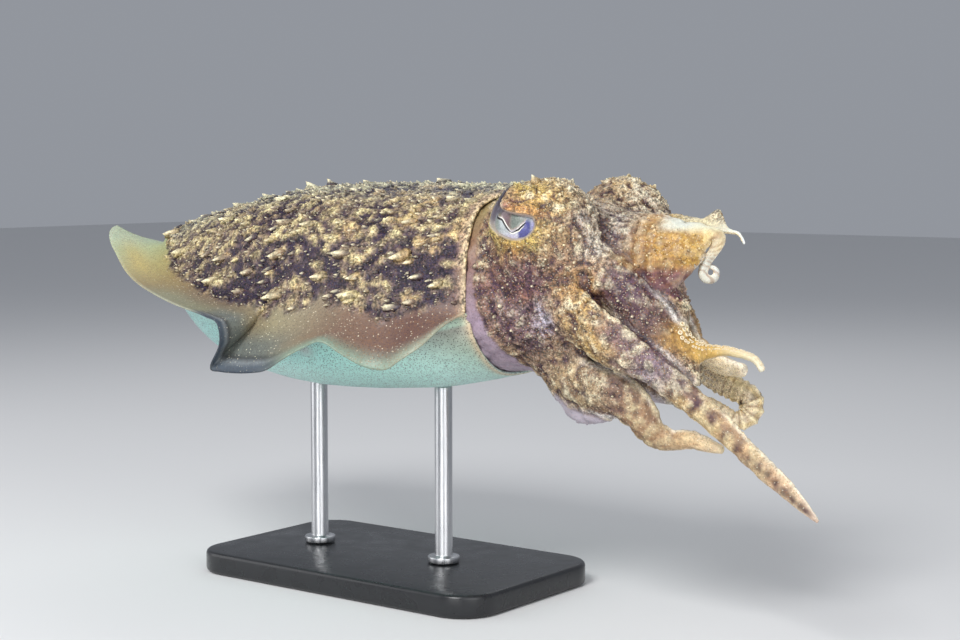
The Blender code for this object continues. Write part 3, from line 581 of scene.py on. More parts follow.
# Inside the opening the skin stops short of the glass, and above it a ledge rises with the degrees.
EYE_FLOOR, LEDGE_RISE, LEDGE = 10.9, 2.3, (42, 62)

loop = np.array(EYE_OPENING, float)
opening_loop = bridged(*(np.roll(loop, 1 - k, 0)[:, None] for k in range(4)), 8)


def past_rim(lon, lat):
    """Millimetres from the eye opening's edge, on the eyeball: negative inside the opening."""
    stretch = np.cos(np.radians(np.clip(lat, -60, 60)))
    p = np.stack([lon, lat], -1)[:, None]
    a, b = opening_loop[None], np.roll(opening_loop, -1, 0)[None]
    scale = np.stack([stretch, 1 + 0 * stretch], -1)[:, None]
    ab, ap = (b - a) * scale, (p - a) * scale
    t = np.clip((ab * ap).sum(-1) / (ab * ab).sum(-1), 0, 1)[..., None]
    far = np.linalg.norm(ap - ab * t, axis=-1).min(-1)
    crosses = (a[..., 1] > p[..., 1]) != (b[..., 1] > p[..., 1])
    with np.errstate(divide="ignore", invalid="ignore"):
        at = a[..., 0] + (p[..., 1] - a[..., 1]) / (b[..., 1] - a[..., 1]) * (b[..., 0] - a[..., 0])
    inside = (crosses & (p[..., 0] < at)).sum(-1) % 2 == 1
    return np.where(inside, -far, far) * DEGREE


def eye_angles(points, side):
    """Distance from an eye's centre, and the degrees forward and up from its own side."""
    v = points - EYE_AT * (1, side, 1)
    r = np.linalg.norm(v, axis=-1) + 1e-6
    lon = np.degrees(np.arctan2(v[:, 0], side * v[:, 1]))
    return r, lon, np.degrees(np.arcsin(np.clip(v[:, 2] / r, -1, 1)))


def with_eyes(points, value):
    """Adds the lids round both eyes to the flesh's signed distance, and opens them."""
    value = value.copy()
    for side in (-1, 1):
        r, lon, lat = eye_angles(points, side)
        near = np.flatnonzero(r < LID_REACH)
        for part in np.array_split(near, max(1, len(near) // 20000)):
            if not len(part):
                continue
            rim = past_rim(lon[part], lat[part])
            above = ease(lat[part] - 0.12 * lon[part], 0, 22) * ease(lon[part], -40, -15)
            behind = ease(-lon[part], 28, 45)
            lid = LID_RADIUS + (HOOD_RISE * above + REAR_RISE * behind) * spot(rim, 0, ROLL_REACH)
            lid -= FURROW_DEPTH * spot(rim, FURROW_AT, FURROW_REACH) * (0.4 + above)
            lid += BROW_RISE * spot(lon[part], *BROW[:2], lat[part], *BROW[2:])
            lidded = blended(value[part], r[part] - lid, LID_FILLET)
            hole = np.maximum(rim, EYE_FLOOR + LEDGE_RISE * ease(lat[part], *LEDGE) - r[part])
            value[part] = -blended(-lidded, hole, RIM_FILLET)
    return value


nodes_at = np.stack([gx.ravel(), gy.ravel(), gz.ravel()], -1)
lidded = with_eyes(nodes_at, flesh.ravel()).reshape(GRID).astype(np.float32)
grid = openvdb.FloatGrid(3.0)
grid.copyFromArray(lidded / VOXEL, ijk=(0, 0, 0))
blend_points, _, quads = grid.convertToPolygons(0.0, 0.0)
blend_points = blend_points.astype(float) * VOXEL + GRID_LOW

# Finer faces round the eyes, then every point is drawn onto the true surface.
bm = bmesh.new()
verts = [bm.verts.new(p) for p in blend_points]
for q in quads:
    bm.faces.new([verts[i] for i in q])
bmesh.ops.recalc_face_normals(bm, faces=bm.faces)
if bm.calc_volume(signed=True) < 0:
    bmesh.ops.reverse_faces(bm, faces=bm.faces)
# From and to: millimetres from the eye's centre, and past the opening's edge.
FINE_DEPTH, FINE_RIM = (EYE_FLOOR + 0.3, 14.6), (-1.2, 5.0)
fine = set()
middles = np.array([face.calc_center_median() for face in bm.faces])
for side in (-1, 1):
    r, lon, lat = eye_angles(middles, side)
    near = np.flatnonzero((r < FINE_DEPTH[1]) & (r > FINE_DEPTH[0]))
    rim = past_rim(lon[near], lat[near])
    bm.faces.ensure_lookup_table()
    for k in near[(rim < FINE_RIM[1]) & (rim > FINE_RIM[0])]:
        fine.update(bm.faces[k].edges)
bmesh.ops.subdivide_edges(bm, edges=list(fine), cuts=1, use_grid_fill=True)
bmesh.ops.triangulate(bm, faces=[f for f in bm.faces if len(f.verts) > 4])
bm.verts.index_update()
blend_points = np.array([v.co for v in bm.verts], float)
blend_faces = [tuple(v.index for v in f.verts) for f in bm.faces]
links = np.array([(e.verts[0].index, e.verts[1].index) for e in bm.edges])
bm.free()


def relaxed(points, links, amount):
    """Each point moved towards the middle of its neighbours."""
    total, count = np.zeros_like(points), np.zeros(len(points))
    for a, b in (links.T, links.T[::-1]):
        np.add.at(total, a, points[b])
        np.add.at(count, a, 1)
    return points + amount * (total / count[:, None] - points)


def surface_value(points):
    """The finished head's signed distance at any points."""
    return with_eyes(points, sampled(flesh, points))


DRAWING_ROUNDS, PULLS, FARTHEST_PULL = 3, 2, 0.5
PROBE = 0.25
LEAST_SLOPE = 0.25
for _ in range(DRAWING_ROUNDS):
    blend_points = relaxed(blend_points, links, 0.5)
    for _ in range(PULLS):
        value = surface_value(blend_points)
        slope = np.stack([(surface_value(blend_points + d) - surface_value(blend_points - d)) / (2 * PROBE)
                          for d in PROBE * np.eye(3)], -1)
        move = slope * (value / np.maximum((slope ** 2).sum(-1), LEAST_SLOPE))[:, None]
        blend_points -= np.clip(move, -FARTHEST_PULL, FARTHEST_PULL)


# The skin -----------------------------------------------------------------------------------------
# One skin stands for all the flesh: the trunk with its fins, the head with the arm roots, and
# the thin arm tips. It is cast in silicone from a sculpted skin: low swellings, hollows and the
# ridges of the big papillae are in its shape, and its colours are airbrushed over them.

TIP_CAP = ((0.30, 0.93), (0.55, 0.75), (0.72, 0.45))
tip_points, tip_faces, tip_arm, tip_row = [], [], [], []
for arm_at, (name, (tip, stations)) in enumerate(tip_rings.items()):
    way, wide = stations[2][-1], stations[4][-1]
    caps = [tip[-1].mean(0) + (tip[-1] - tip[-1].mean(0)) * size + way * wide * on for on, size in TIP_CAP]
    tip = np.concatenate([tip, caps])
    count, sides = tip.shape[:2]
    first = sum(len(p) for p in tip_points)
    ends = np.stack([tip[0].mean(0), tip[-1].mean(0) + way * 0.08 * wide])
    tip_points.append(np.concatenate([tip.reshape(-1, 3), ends]))
    row = np.minimum(np.arange(count), count - 1 - len(TIP_CAP))
    row += len(arms[name][0]) - len(stations[0])
    tip_row.append(np.concatenate([np.repeat(row, sides), [row[0], row[-1]]]))
    tip_arm.append(np.full(len(tip_points[-1]), arm_at))
    tip_faces += [tuple(f) for f in loft_faces(count, sides, first)] + end_fans(count, sides, first)
tip_points, tip_arm, tip_row = (np.concatenate(v) for v in (tip_points, tip_arm, tip_row))

pieces = [(trunk_points_all, trunk_faces), (blend_points, blend_faces), (tip_points, tip_faces)]
skin_points = np.concatenate([p for p, _ in pieces])
skin_faces, shift = [], 0
for p, faces in pieces:
    skin_faces += [tuple(int(i) + shift for i in f) for f in faces]
    shift += len(p)
trunk_count, blend_count = len(trunk_points_all), len(blend_points)
is_trunk = np.arange(len(skin_points)) < trunk_count
is_head = ~is_trunk


def world(points):
    """Points of the animal's frame, in millimetres, as world points in metres."""
    return (np.asarray(points, float) + BODY_AT) * MM


def mesh_object(name, points, faces, *finishes):
    """A smooth-shaded mesh object from points of the animal's frame."""
    mesh = bpy.data.meshes.new(name)
    mesh.from_pydata(world(points).tolist(), [], faces)
    for finish in finishes:
        mesh.materials.append(finish)
    mesh.shade_smooth()
    obj = bpy.data.objects.new(name, mesh)
    bpy.context.scene.collection.objects.link(obj)
    return obj


def normals_of(points, faces):
    """The normals at a mesh's points, and its edges."""
    mesh = bpy.data.meshes.new("measured")
    mesh.from_pydata(points.tolist(), [], faces)
    found = np.empty(len(points) * 3)
    mesh.vertex_normals.foreach_get("vector", found)
    edges = np.empty(len(mesh.edges) * 2, int)
    mesh.edges.foreach_get("vertices", edges)
    bpy.data.meshes.remove(mesh)
    return found.reshape(-1, 3), edges.reshape(-1, 2)


def bumps(points, size, seed):
    """Smooth noise from -1 to 1 with features of about this size in millimetres."""
    moved = np.asarray(points) / size + 37.7 * seed
    return np.fromiter((noise.noise(p) for p in moved.tolist()), float, len(moved))


def creases(points, size, seed, width):
    """Winding lines, 1 in the line and 0 past its width, that follow noise of this size."""
    return ease(width - np.abs(bumps(points, size, seed)), 0, width)


# Where each point lies: along the trunk, round it from the middle of the back, and on the fin.
normal, links = normals_of(skin_points, skin_faces)
ring_at = np.minimum(np.arange(trunk_count) // around, len(trunk_rings) - 1)
place = np.arange(trunk_count) % around
place = np.minimum(place, around - place)
side_of = np.where(skin_points[:, 1] > 0, 1.0, -1.0)
share_of = np.append(shares, np.ones(len(LIP)))[ring_at]
steps_out = np.linalg.norm(np.diff(np.concatenate([trunk_rings, trunk_rings[:, :1]], 1), axis=1), axis=-1)
from_back = np.concatenate([0 * steps_out[:, :1], np.cumsum(steps_out, 1)[:, :-1]], 1)
from_back = np.minimum(from_back, steps_out.sum(1, keepdims=True) - from_back).ravel()
from_back = np.append(from_back, 0)
under = place > BACK_POINTS + FIN_POINTS
fin_t = np.where(under, half_ring - BELLY_POINTS - place, place - BACK_POINTS + 1)
fin_t = np.clip(fin_t / FIN_POINTS, 0, 1)
lip = ring_at >= len(shares) - 1
tx, ty, tz = skin_points[:trunk_count].T
half_wide, *_, line_level = mantle_shape(np.clip(share_of, 0.02, 1))
above_line = tz - line_level

# Streaks rise forwards and upwards over the back.
STREAK_RISE = math.radians(28)
along = tx * math.cos(STREAK_RISE) - from_back * math.sin(STREAK_RISE)
over = tx * math.sin(STREAK_RISE) + from_back * math.cos(STREAK_RISE)
flow = np.stack([along, over, side_of[:trunk_count] * 60], -1)
# The knobbly skin ends a little way out on the fin: (x, how far outside the body's side).
ROUGH_TO = [(-176, -12), (-168, -6), (-163, -2), (-148, 3.4), (-136, 4.8), (-112, 5.8), (-92, 7), (-72, 3.0),
            (-54, 2.2), (-41, 5.0), (-16, 4.6), (-7, 1.8), (0, -0.5), (12, -0.5)]
limit = np.interp(tx, *np.array(ROUGH_TO).T) - np.abs(ty) + half_wide
rough = ease(limit + 2.2 * bumps(flow, 7, 1) + 1.4 * bumps(flow, 3, 2), -0.9, 1.3) * ~under
# Dark and cream places on the back: (x, degrees round from the top, radius, how dark).
SHADES = [
    (-87, 65, 9, 0.5), (-39, 40, 8, 0.45), (-24, 63, 7, 0.45), (-105, 84, 6, 0.4), (-95, 77, 7, 0.5),
    (-69, 57, 7, 0.35), (-48, 44, 7, 0.3), (-17, 69, 7, 0.35), (-31, 62, 7, 0.4), (-121, 78, 7, 0.5),
    (-78, 77, 8, 0.5), (-52, 76, 7, 0.4), (-30, 86, 5, 0.3), (-106, 15, 10, 0.55), (-95, 4, 8, 0.5),
    (-75, 65, 7, 0.45), (-60, 62, 7, 0.6), (-27, 69, 7, 0.4), (-8, 62, 7, 0.45), (-89, 37, 7, 0.4),
    (-10, 79, 6, 0.45), (-55, 74, 6, 0.4), (-103, 60, 6, 0.35), (-131, 71, 9, -0.7), (-105, 76, 6, -0.7),
    (-103, 67, 6, -0.3), (-58, 52, 5, -0.3), (-66, 44, 7, -0.55), (-141, 78, 8, -0.5),
    (-46, 72, 6, -0.45), (-21, 40, 9, -0.5), (-28, 79, 6, -0.5), (-75, 46, 6, -0.3), (-67, 33, 7, -0.5),
    (-128, 54, 8, -0.35), (-12, 22, 9, -0.3), (-106, 45, 8, -0.5), (-53, 50, 5, -0.4), (-40, 84, 6, -0.3)]
round_top = np.degrees(np.arctan2(np.abs(ty), above_line))
shade = 0.75 * bumps(flow * (0.6, 1.15, 1), 8, 3) + 0.6 * bumps(flow * (0.7, 1.2, 1), 4, 4)
shade += 0.35 * bumps(flow, 2.3, 5)
for x, degrees, radius, amount in SHADES:
    near = ((tx - x) ** 2 + (0.75 * (round_top - degrees)) ** 2) / radius ** 2
    shade += amount * np.exp(-near)
dark = np.zeros(len(skin_points))
dark[:trunk_count] = ease(shade, 0.06, 0.38) * (1 - 0.65 * ease(bumps(flow, 3.0, 20), 0.08, 0.45))

# The trunk's relief: pale skin swells, dark skin is hollow, and it is knobbly all over.
knobs = 0.70 * bumps(flow * (0.7, 1.2, 1), 3.6, 6) + 0.55 * bumps(flow, 2.2, 7)
crease = creases(flow * (0.8, 1.2, 1), 6, 16, 0.15) * rough
lift = 0.40 - 0.5 * dark[:trunk_count] + 1.0 * knobs - 0.35 * crease
near_lip = ease(share_of, 0.972, 0.994)
lift = rough * lift * (1 - 0.85 * near_lip) + 0.12 * bumps(flow, 9, 8) * (1 - fin_t)

# The big papillae: (x, degrees round from the top, length, height); each is a thorn that leans
# back and down, with a ridge that runs forwards and up from it.
THORNS = [
    (-160, 64, 9, 2.6), (-143, 74, 10, 2.6), (-112, 80, 10, 2.8), (-78, 80, 11, 3.2), (-144, 33, 8, 2.0),
    (-120, 45, 8, 2.2), (-97, 55, 8, 2.0), (-83, 47, 8, 2.2), (-71, 47, 8, 2.0), (-81, 62, 9, 2.2),
    (-94, 71, 7, 1.8), (-84, 74, 6, 1.6), (-112, 68, 8, 2.0), (-51, 60, 10, 3.0), (-59, 70, 8, 2.0),
    (-44, 70, 7, 1.8), (-44, 79, 10, 2.8), (-27, 61, 10, 2.8), (-28, 44, 7, 1.8), (-19, 70, 7, 2.0),
    (-11, 75, 7, 1.8), (-25, 84, 9, 2.8), (-99, 4, 9, 3.4), (-88, 5, 7, 3.2), (-37, 2, 8, 2.8),
    (-129, 20, 7, 2.0), (-64, 22, 7, 1.8), (-52, 12, 6, 1.6), (-17, 30, 7, 1.8), (-113, 18, 7, 2.0),
    (-70, 5, 6, 1.8)]
SMALL_THORNS = 95
chance = np.random.default_rng(71)
trunk_bvh = BVHTree.FromPolygons([tuple(p) for p in trunk_points_all], trunk_faces)


def on_back(x, degrees, side):
    """The point and normal of the trunk's surface at a place on the back."""
    level = float(mantle_shape(np.array(np.clip(1 + x / MANTLE_LENGTH, 0.03, 1)))[3])
    turned = math.radians(degrees)
    way = Vector((0, side * math.sin(turned), math.cos(turned)))
    point, facing, _, _ = trunk_bvh.ray_cast(Vector((x, 0, level)) + way * 90, -way)
    return point, facing


# The thorns on the middle line, up to 6 degrees from it, grow once; the others grow on both sides.
thorns = []
for side_now in (-1, 1):
    for x, degrees, length, height in THORNS:
        if degrees > 6 or side_now < 0:
            stray_x, stray_degrees = chance.uniform(-1, 1, 2) * (0 if side_now < 0 else 3)
            found = on_back(x + stray_x, degrees + stray_degrees, side_now)
            thorns.append((*found, side_now, length, height))
    for _ in range(SMALL_THORNS):
        x, degrees = chance.uniform(-168, -7), 84 * chance.uniform(0, 1) ** 0.8
        size = chance.uniform(0.45, 0.8)
        found = on_back(x, degrees, side_now)
        if found[0] is not None:
            thorns.append((*found, side_now, 8 * size, 1.9 * size))


def thorn_frame(facing, side_now):
    """Forward-and-up direction along the skin, and the direction across it."""
    tangent = (Vector((1, 0, 0)) - facing * facing.x).normalized()
    upward = tangent.cross(facing) * side_now
    ridge = tangent * math.cos(STREAK_RISE) + upward * math.sin(STREAK_RISE)
    return ridge.normalized(), facing.cross(ridge).normalized()


for point, facing, side_now, length, height in thorns:
    ridge, across = thorn_frame(facing, side_now)
    offset = skin_points[:trunk_count] - point
    close = np.flatnonzero((offset ** 2).sum(-1) < (1.3 * length) ** 2)
    u, w = offset[close] @ ridge, offset[close] @ across
    rise = band(u, -1.6, 0.4, 0, 1.1 * length) * spot(w, 0, 0.17 * length)
    lift[close] += 0.30 * height * rise * rough[close]
    dark[close] *= 1 - 0.9 * np.clip(rise * 1.3, 0, 1)
    # A painted shadow on the skin behind each big thorn, where it leans over it.
    behind = spot(u, -2.6, 1.5, w, 0, 1.8)
    dark[close] = np.maximum(dark[close], 0.75 * behind * rough[close] * (height > 1.5))
skin_points[:trunk_count] += normal[:trunk_count] * lift[:, None]

# Which arm, and where on it, each point of the head's blend is nearest to. The table's columns
# are the share of the length, centre, way, outer side, half width and distance from the root.
names = list(ARMS)
table = [np.concatenate([v.reshape(len(arms[n][0]), -1) for v in arms[n]], 1) for n in names]
owner = np.concatenate([np.full(len(t), k) for k, t in enumerate(table)])
table = np.concatenate(table)
starts = np.searchsorted(owner, np.arange(len(names)))
nearest = np.empty(len(skin_points), int)
for part in np.array_split(np.arange(trunk_count, trunk_count + blend_count), 24):
    gap = np.linalg.norm(skin_points[part, None] - table[None, :, 1:4], axis=-1) - table[:, 10]
    nearest[part] = gap.argmin(1)
nearest[:trunk_count] = 0
nearest[trunk_count + blend_count:] = starts[tip_arm] + tip_row
station = table[nearest]
arm_of, arm_share, arm_wide = owner[nearest], station[:, 0], station[:, 10]
from_axis = skin_points - station[:, 1:4]
arm_gap = np.linalg.norm(from_axis, axis=-1) - arm_wide
outer = (from_axis * station[:, 7:10]).sum(-1) / arm_wide
edge = (from_axis * np.cross(station[:, 4:7], station[:, 7:10])).sum(-1) / arm_wide
on_arm = is_head * ease(arm_share, 0.10, 0.30) * (1 - ease(arm_gap, 0.5, 3.0))


def is_arm(*which):
    """Whether each point of the skin is nearest to one of these arms."""
    return np.isin(arm_of, [names.index(name) for name in which])


# The head's relief: low swellings, knobbly skin, and wrinkles round the root of the top arms.
hp = skin_points[is_head]
thin = np.clip(arm_wide[is_head] / 5, 0.12, 1)
lumps = 0.35 * bumps(hp, 8, 11) + 0.55 * bumps(hp, 4.2, 12) + 0.35 * bumps(hp, 2.4, 13)
wrinkled = creases(hp, 7, 15, 0.13) + 0.7 * creases(hp, 4, 17, 0.13)
lumps -= 0.40 * wrinkled
knobbly = lumps.copy()
# The coil of the left third arm is ribbed, and the right top arm's root is folded.
COIL_RIB_MM, ROOT_FOLD_MM = 2.4, 2.3
coiled = is_arm("left_3")[is_head] & (arm_share[is_head] > 0.5)
ribs = np.sin(station[:, 11] * math.tau / COIL_RIB_MM)
lumps = np.where(coiled, 0.5 * ribs[is_head], lumps)
folds = np.sin(station[is_head, 11] * math.tau / ROOT_FOLD_MM + 1.4 * bumps(hp, 6, 14))
folds = folds * ease(arm_share[is_head], 0.16, 0.24) * (1 - ease(arm_share[is_head], 0.33, 0.40))
lumps = lumps + 0.32 * folds * is_arm("right_1")[is_head] * (1 - ease(arm_gap[is_head], 0.5, 2.5))
eye_rim = np.full(is_head.sum(), 9.0)
for side_now in (-1, 1):
    r, lon, lat = eye_angles(hp, side_now)
    near = np.flatnonzero(r < 17)
    eye_rim[near] = past_rim(lon[near], lat[near])
lumps *= 0.15 + 0.85 * ease(eye_rim, 1.0, 5.0)
shift_out = lumps * np.where(eye_rim < 0.2, 0, 1) * (0.35 + 0.65 * thin) * np.where(thin < 0.5, 0.4, 1)
skin_points[is_head] += normal[is_head] * shift_out[:, None]
normal, _ = normals_of(skin_points, skin_faces)

# How hollow or ridged the skin is, from the lie of each point among its neighbours.
middle = relaxed(relaxed(skin_points, links, 1.0), links, 1.0)
hollow = ((middle - skin_points) * normal).sum(-1)
for _ in range(3):
    hollow = relaxed(hollow[:, None], links, 0.8)[:, 0]


def linear(hex_colour):
    """An sRGB hex value as linear red, green and blue."""
    value = np.array([int(hex_colour[k:k + 2], 16) for k in (1, 3, 5)]) / 255
    return np.where(value <= 0.04045, value / 12.92, ((value + 0.055) / 1.055) ** 2.4)


paint = np.zeros((len(skin_points), 3))
grain, dark_dots, pale_dots, warm_dots = np.zeros((4, len(skin_points)))


def whole(values):
    """Values for the trunk's points, or for all of the skin's, as values for all of them."""
    return np.concatenate([values, np.zeros((len(paint) - len(values), *values.shape[1:]))])


def brush(colour, amount):
    """Airbrushes a colour, or a colour for each point, over the skin by each point's amount."""
    colour = linear(colour) if isinstance(colour, str) else whole(colour)
    paint[:] += (colour - paint) * whole(np.clip(np.asarray(amount, float), 0, 1))[:, None]


def stops(at, *pairs):
    """A colour for each point, blended between the stops of a scale."""
    places = [p for p, _ in pairs]
    colours = np.array([linear(c) for _, c in pairs])
    return np.stack([np.interp(at, places, colours[:, k]) for k in range(3)], -1)


# The belly is pale turquoise, creamier at the margin and browner below the fin's front.
brush(stops(tx, (-176, "#a3c6c0"), (-120, "#9ccbc6"), (-60, "#a3d9d1"), (-38, "#b6e6da"), (-18, "#c8f0e4"),
            (0, "#aabba6")), is_trunk)
low = ease(-above_line, 8, 22) * under
brush("#cdf3ea", 0.60 * low * ease(tx, -120, -85))
brush("#8a7d76", 0.80 * under * (fin_t == 0) * ease(above_line, -17, -1) * ease(tx, -52, -14))
brush("#9fb3a8", 0.55 * under * (fin_t == 0) * ease(above_line, -12, -1) * (1 - ease(tx, -52, -14)))
brush("#b99a9c", 0.5 * under * spot(tx, -66, 3.5, above_line, -9, 2.5))
# The smooth flank and the fin's upper side; ahead of the middle the fin's edge is pale as the belly.
upper = ~under * np.maximum((fin_t > 0) * 1.0, ease(limit, 6, 2))
brush(stops(tx, (-176, "#b6c6a6"), (-166, "#b4bd8d"), (-152, "#ada36b"), (-136, "#998659"),
            (-114, "#7c6a54"), (-94, "#756450"), (-72, "#8e8568"), (-58, "#8b7f68"), (-38, "#80695a"),
            (-14, "#654b44"), (0, "#6e574d")), upper)
brush("#8f9479", 0.75 * ~under * ease(fin_t, 0.2, 0.75) * ease(-tx, 74, 92) * ease(tx, -140, -118))
brush(stops(tx, (-80, "#97a083"), (-50, "#829c8a"), (-20, "#8aa391"), (0, "#a9ae97")),
      0.80 * ~under * ease(fin_t, 0.62, 1.0) * ease(tx, -78, -62))
brush(stops(tx, (-176, "#b9bd98"), (-130, "#a39a7c"), (-80, "#93a79a"), (-20, "#a5b5a4")),
      0.85 * under * ease(fin_t, 0, 0.3))
brush("#c9ac52", 0.55 * ~under * spot(fin_t, 0.60, 0.22) * spot(tx, -160, 14))
lobe = band(tx, -101, -90, -74, -50)
# The dark lobe of the fin, its pale line, and the edge that rolls under, painted darker still as shade.
brush("#646c6a", 0.85 * lobe * ~under * ease(fin_t, 0.25, 0.62))
brush("#56626f", 0.85 * lobe * ease(fin_t, 0.78, 0.84))
brush("#2b2d33", 0.85 * lobe * spot(fin_t, 0.775, 0.022))
brush("#d9d6c6", 0.60 * lobe * spot(fin_t, 0.835, 0.018))
# The lobe's outer edge: its own dark grey, painted darker as shade where the light catches it.
brush("#2f3944", 0.8 * lobe * ease(fin_t, 0.90, 0.95))
# Where the edge rolls under: its own colours, painted darkest as shade at the lobe.
rolled = ease(fin_t, 0.93, 0.97) * under
brush(stops(tx, (-176, "#b4b894"), (-150, "#a89a68"), (-110, "#7d7462"), (-92, "#2f3944"), (-72, "#3d474d"),
            (-45, "#a3b59d"), (0, "#b4c0a8")), 0.9 * rolled)
brush("#b9bcaa", 0.35 * ease(fin_t, 0.995, 1.0) * ease(-tx, 58, 80) * (1 - lobe))
smooth_skin = (1 - rough) * ~under
pale_dots[:trunk_count] = smooth_skin * ease(tx, -168, -120) * (1 - 0.7 * ease(fin_t, 0.75, 0.9))
dark_dots[:trunk_count] = np.where(under, 1.0, 0.6) * (1 - 0.5 * ease(fin_t, 0.8, 0.9))
warm_dots[:trunk_count] = 0.55 * smooth_skin * ease(tx, -70, -20) + 0.4 * smooth_skin * ease(-tx, 100, 150)
grain[:trunk_count] = 0.10

# The back, by tone: painted shade in hollows and creases, brown slopes, painted highlight on cream crests.
# How convex the skin is: crests take painted highlight, hollows painted shade.
crest = np.clip(-hollow[:trunk_count] / 0.12, -1.2, 1.2)
speckle = bumps(flow, 1.5, 18)
tone = 0.49 + 0.26 * knobs + 0.24 * crest - 0.42 * dark[:trunk_count] + 0.12 * bumps(flow, 16, 9)
tone += 0.32 * speckle - 0.16 * crease + 0.36 * dark[:trunk_count] * bumps(flow, 2.6, 19)
brush(stops(tone, (0.0, "#241b2e"), (0.20, "#3f323b"), (0.40, "#6f5f53"), (0.60, "#9b8b6a"),
            (0.80, "#c2b384"), (1.05, "#eadfb0")), rough)
# Cooler and greyer on top: painted cool light from above.
brush(stops(tone, (0.0, "#262335"), (0.20, "#3f3d49"), (0.40, "#686864"), (0.60, "#92927f"),
            (0.80, "#baba9f"), (1.05, "#e4e2c8")), 0.85 * rough * ease(-from_back, -34, -10))
brush("#b08248", 0.30 * rough * ease(bumps(flow, 11, 10), 0.1, 0.5) * ease(tone, 0.35, 0.6))
grain[:trunk_count] += 0.80 * rough
dark_dots[:trunk_count] *= 1 - 0.35 * rough
warm_dots[:trunk_count] += 0.30 * rough
# The mantle's margin: brown behind it, a cream edge, and lilac painted light over the recess's shade.
brush("#8b6d62", 0.55 * near_lip * (1 - lip) * ~under)
brush("#cdb694", 0.85 * spot(ring_at, len(shares) - 0.5, 1.3))
# Painted light: the recess's lilac is lighter, to lift the shade in it.
brush("#b09aa2", 0.9 * (ring_at > len(shares) + 2))

# The head and arms: browns and golds, placed as soft spots whose outlines wander.
on_head = is_head * 1.0
hx, hy, hz = skin_points.T
side_y = np.abs(hy)
knobs_head = np.zeros(len(skin_points))
knobs_head[is_head] = knobbly
warp = np.stack([bumps(skin_points, 9, seed) + 0.5 * bumps(skin_points, 3.5, seed + 3)
                 for seed in (21, 22, 23)], -1)
folded = np.stack([hx, side_y, hz], -1) + warp * 5.0
brush("#a0835e", on_head)
# (x, distance from the middle, z), radius, colour and strength.
PLACES = [
    ((6, 33, -2), 12, "#7d5a4c", 0.9), ((12, 35, 9), 8, "#94694a", 0.85),
    ((19, 34, 1), 10, "#4b2c38", 0.95), ((26, 35, 5), 8, "#5f3f48", 0.85),
    ((18, 31, -14), 9, "#7d5f60", 0.85), ((21, 28, -19), 6, "#38222e", 0.85),
    ((36, 34, 8), 10, "#8c6b52", 0.8), ((47, 30, 4), 8, "#6b4a4c", 0.75),
    ((27, 33, -8), 3.6, "#dcd2cb", 1.0), ((28.5, 31.5, -12), 3.0, "#c6b8b8", 0.95),
    ((44, 26, 22), 9, "#b9aa90", 0.85), ((42, 10, 22), 10, "#bbb09c", 0.9),
    ((54, 14, 18), 9, "#c9bda6", 0.85), ((36, 29, 25), 4, "#545863", 0.85),
    ((41, 25, 21), 4.5, "#565c68", 0.85), ((46, 21, 19), 4, "#666a70", 0.75),
    ((39, 10, 25), 5, "#5f6468", 0.75), ((45, 24, 14), 4.5, "#e8ddc0", 0.85),
    ((49, 26, 9), 5, "#cfae78", 0.7), ((42, 32, 0), 8, "#bb8c43", 0.8),
    ((45, 35, -8), 7, "#c79f55", 0.85), ((51, 34, -10), 4, "#e0d2b0", 0.75),
    ((30, 34, -14), 7, "#9d8a86", 0.7), ((40, 33, -20), 7, "#a0866a", 0.6),
    ((12, 33, -7), 2.4, "#d8c6a4", 0.9), ((20, 32, -10), 2.6, "#d0bf9e", 0.9),
    ((20, 34, -3), 3, "#a9744e", 0.8), ((15, 39, 15), 5, "#b09a52", 0.8),
    ((21, 39, 12), 4.5, "#bf853c", 0.85), ((28, 38, 15), 5, "#b5a050", 0.8),
    ((36, 35, 17), 5, "#a8854e", 0.7), ((25, 34, 29), 8, "#d0a552", 0.95),
    ((32, 31, 29), 8, "#c9a560", 0.9), ((21, 31, 32), 6, "#c8ae52", 0.85),
    ((14, 28, 33), 5, "#b8ab62", 0.8), ((4, 31, 18), 4, "#b3a05c", 0.9), ((3, 33, 8), 3, "#dcc893", 1.0),
    ((33, 15, 31), 14, "#bd9c66", 0.7), ((30, 22, 35), 9, "#cfae66", 0.6)]
for (x, y, z), radius, colour, strength in PLACES:
    gap = np.linalg.norm(folded - (x, y, z), axis=-1)
    brush(colour, on_head * strength * np.exp(-(gap / radius) ** 2 * 1.1))
ARM_PAINT = {
    "right_1": ((0.1, "#ae9064"), (0.28, "#bb8b43"), (0.42, "#cd9a3f"), (0.54, "#d9a94e"), (0.62, "#e4c888"),
                (0.78, "#cfcfc0"), (1.0, "#dadbd2")),
    "right_2": ((0.1, "#66464c"), (0.30, "#4f3440"), (0.46, "#705245"), (0.56, "#b98d45"), (0.76, "#cfa857"),
                (0.88, "#e2d3a6"), (1.0, "#efe6cc")),
    "right_3": ((0.1, "#a8854f"), (0.24, "#c39b4c"), (0.34, "#a58a70"), (0.42, "#9d8d88"), (0.52, "#c2a26c"),
                (0.70, "#cfae80"), (0.85, "#dcb890"), (1.0, "#f3d9bd")),
    "right_4": ((0.1, "#8d7265"), (0.24, "#a98e62"), (0.40, "#b0966b"), (0.52, "#92745a"), (0.70, "#9a7b5c"),
                (0.88, "#c9a77c"), (1.0, "#ecd6b0")),
    "left_1": ((0.1, "#ae9064"), (0.33, "#c5a256"), (0.5, "#e0cd96"), (0.66, "#ece3bc"), (0.85, "#f0f1dc"),
               (1.0, "#f5f9f1")),
    "left_2": ((0.1, "#86644e"), (0.42, "#b98c4c"), (0.66, "#dcb478"), (0.85, "#f4dcb0"), (1.0, "#fbeed2")),
    "left_3": ((0.1, "#a0804f"), (0.40, "#c29c55"), (0.60, "#cda65e"), (0.80, "#e6cb8e"), (1.0, "#f2e6c4")),
    "left_4": ((0.1, "#8d7265"), (0.50, "#b3926a"), (0.80, "#cda878"), (1.0, "#eddab6")),
}
mottle = bumps(skin_points, 6.5, 31) + 0.6 * bumps(skin_points, 3.2, 32)
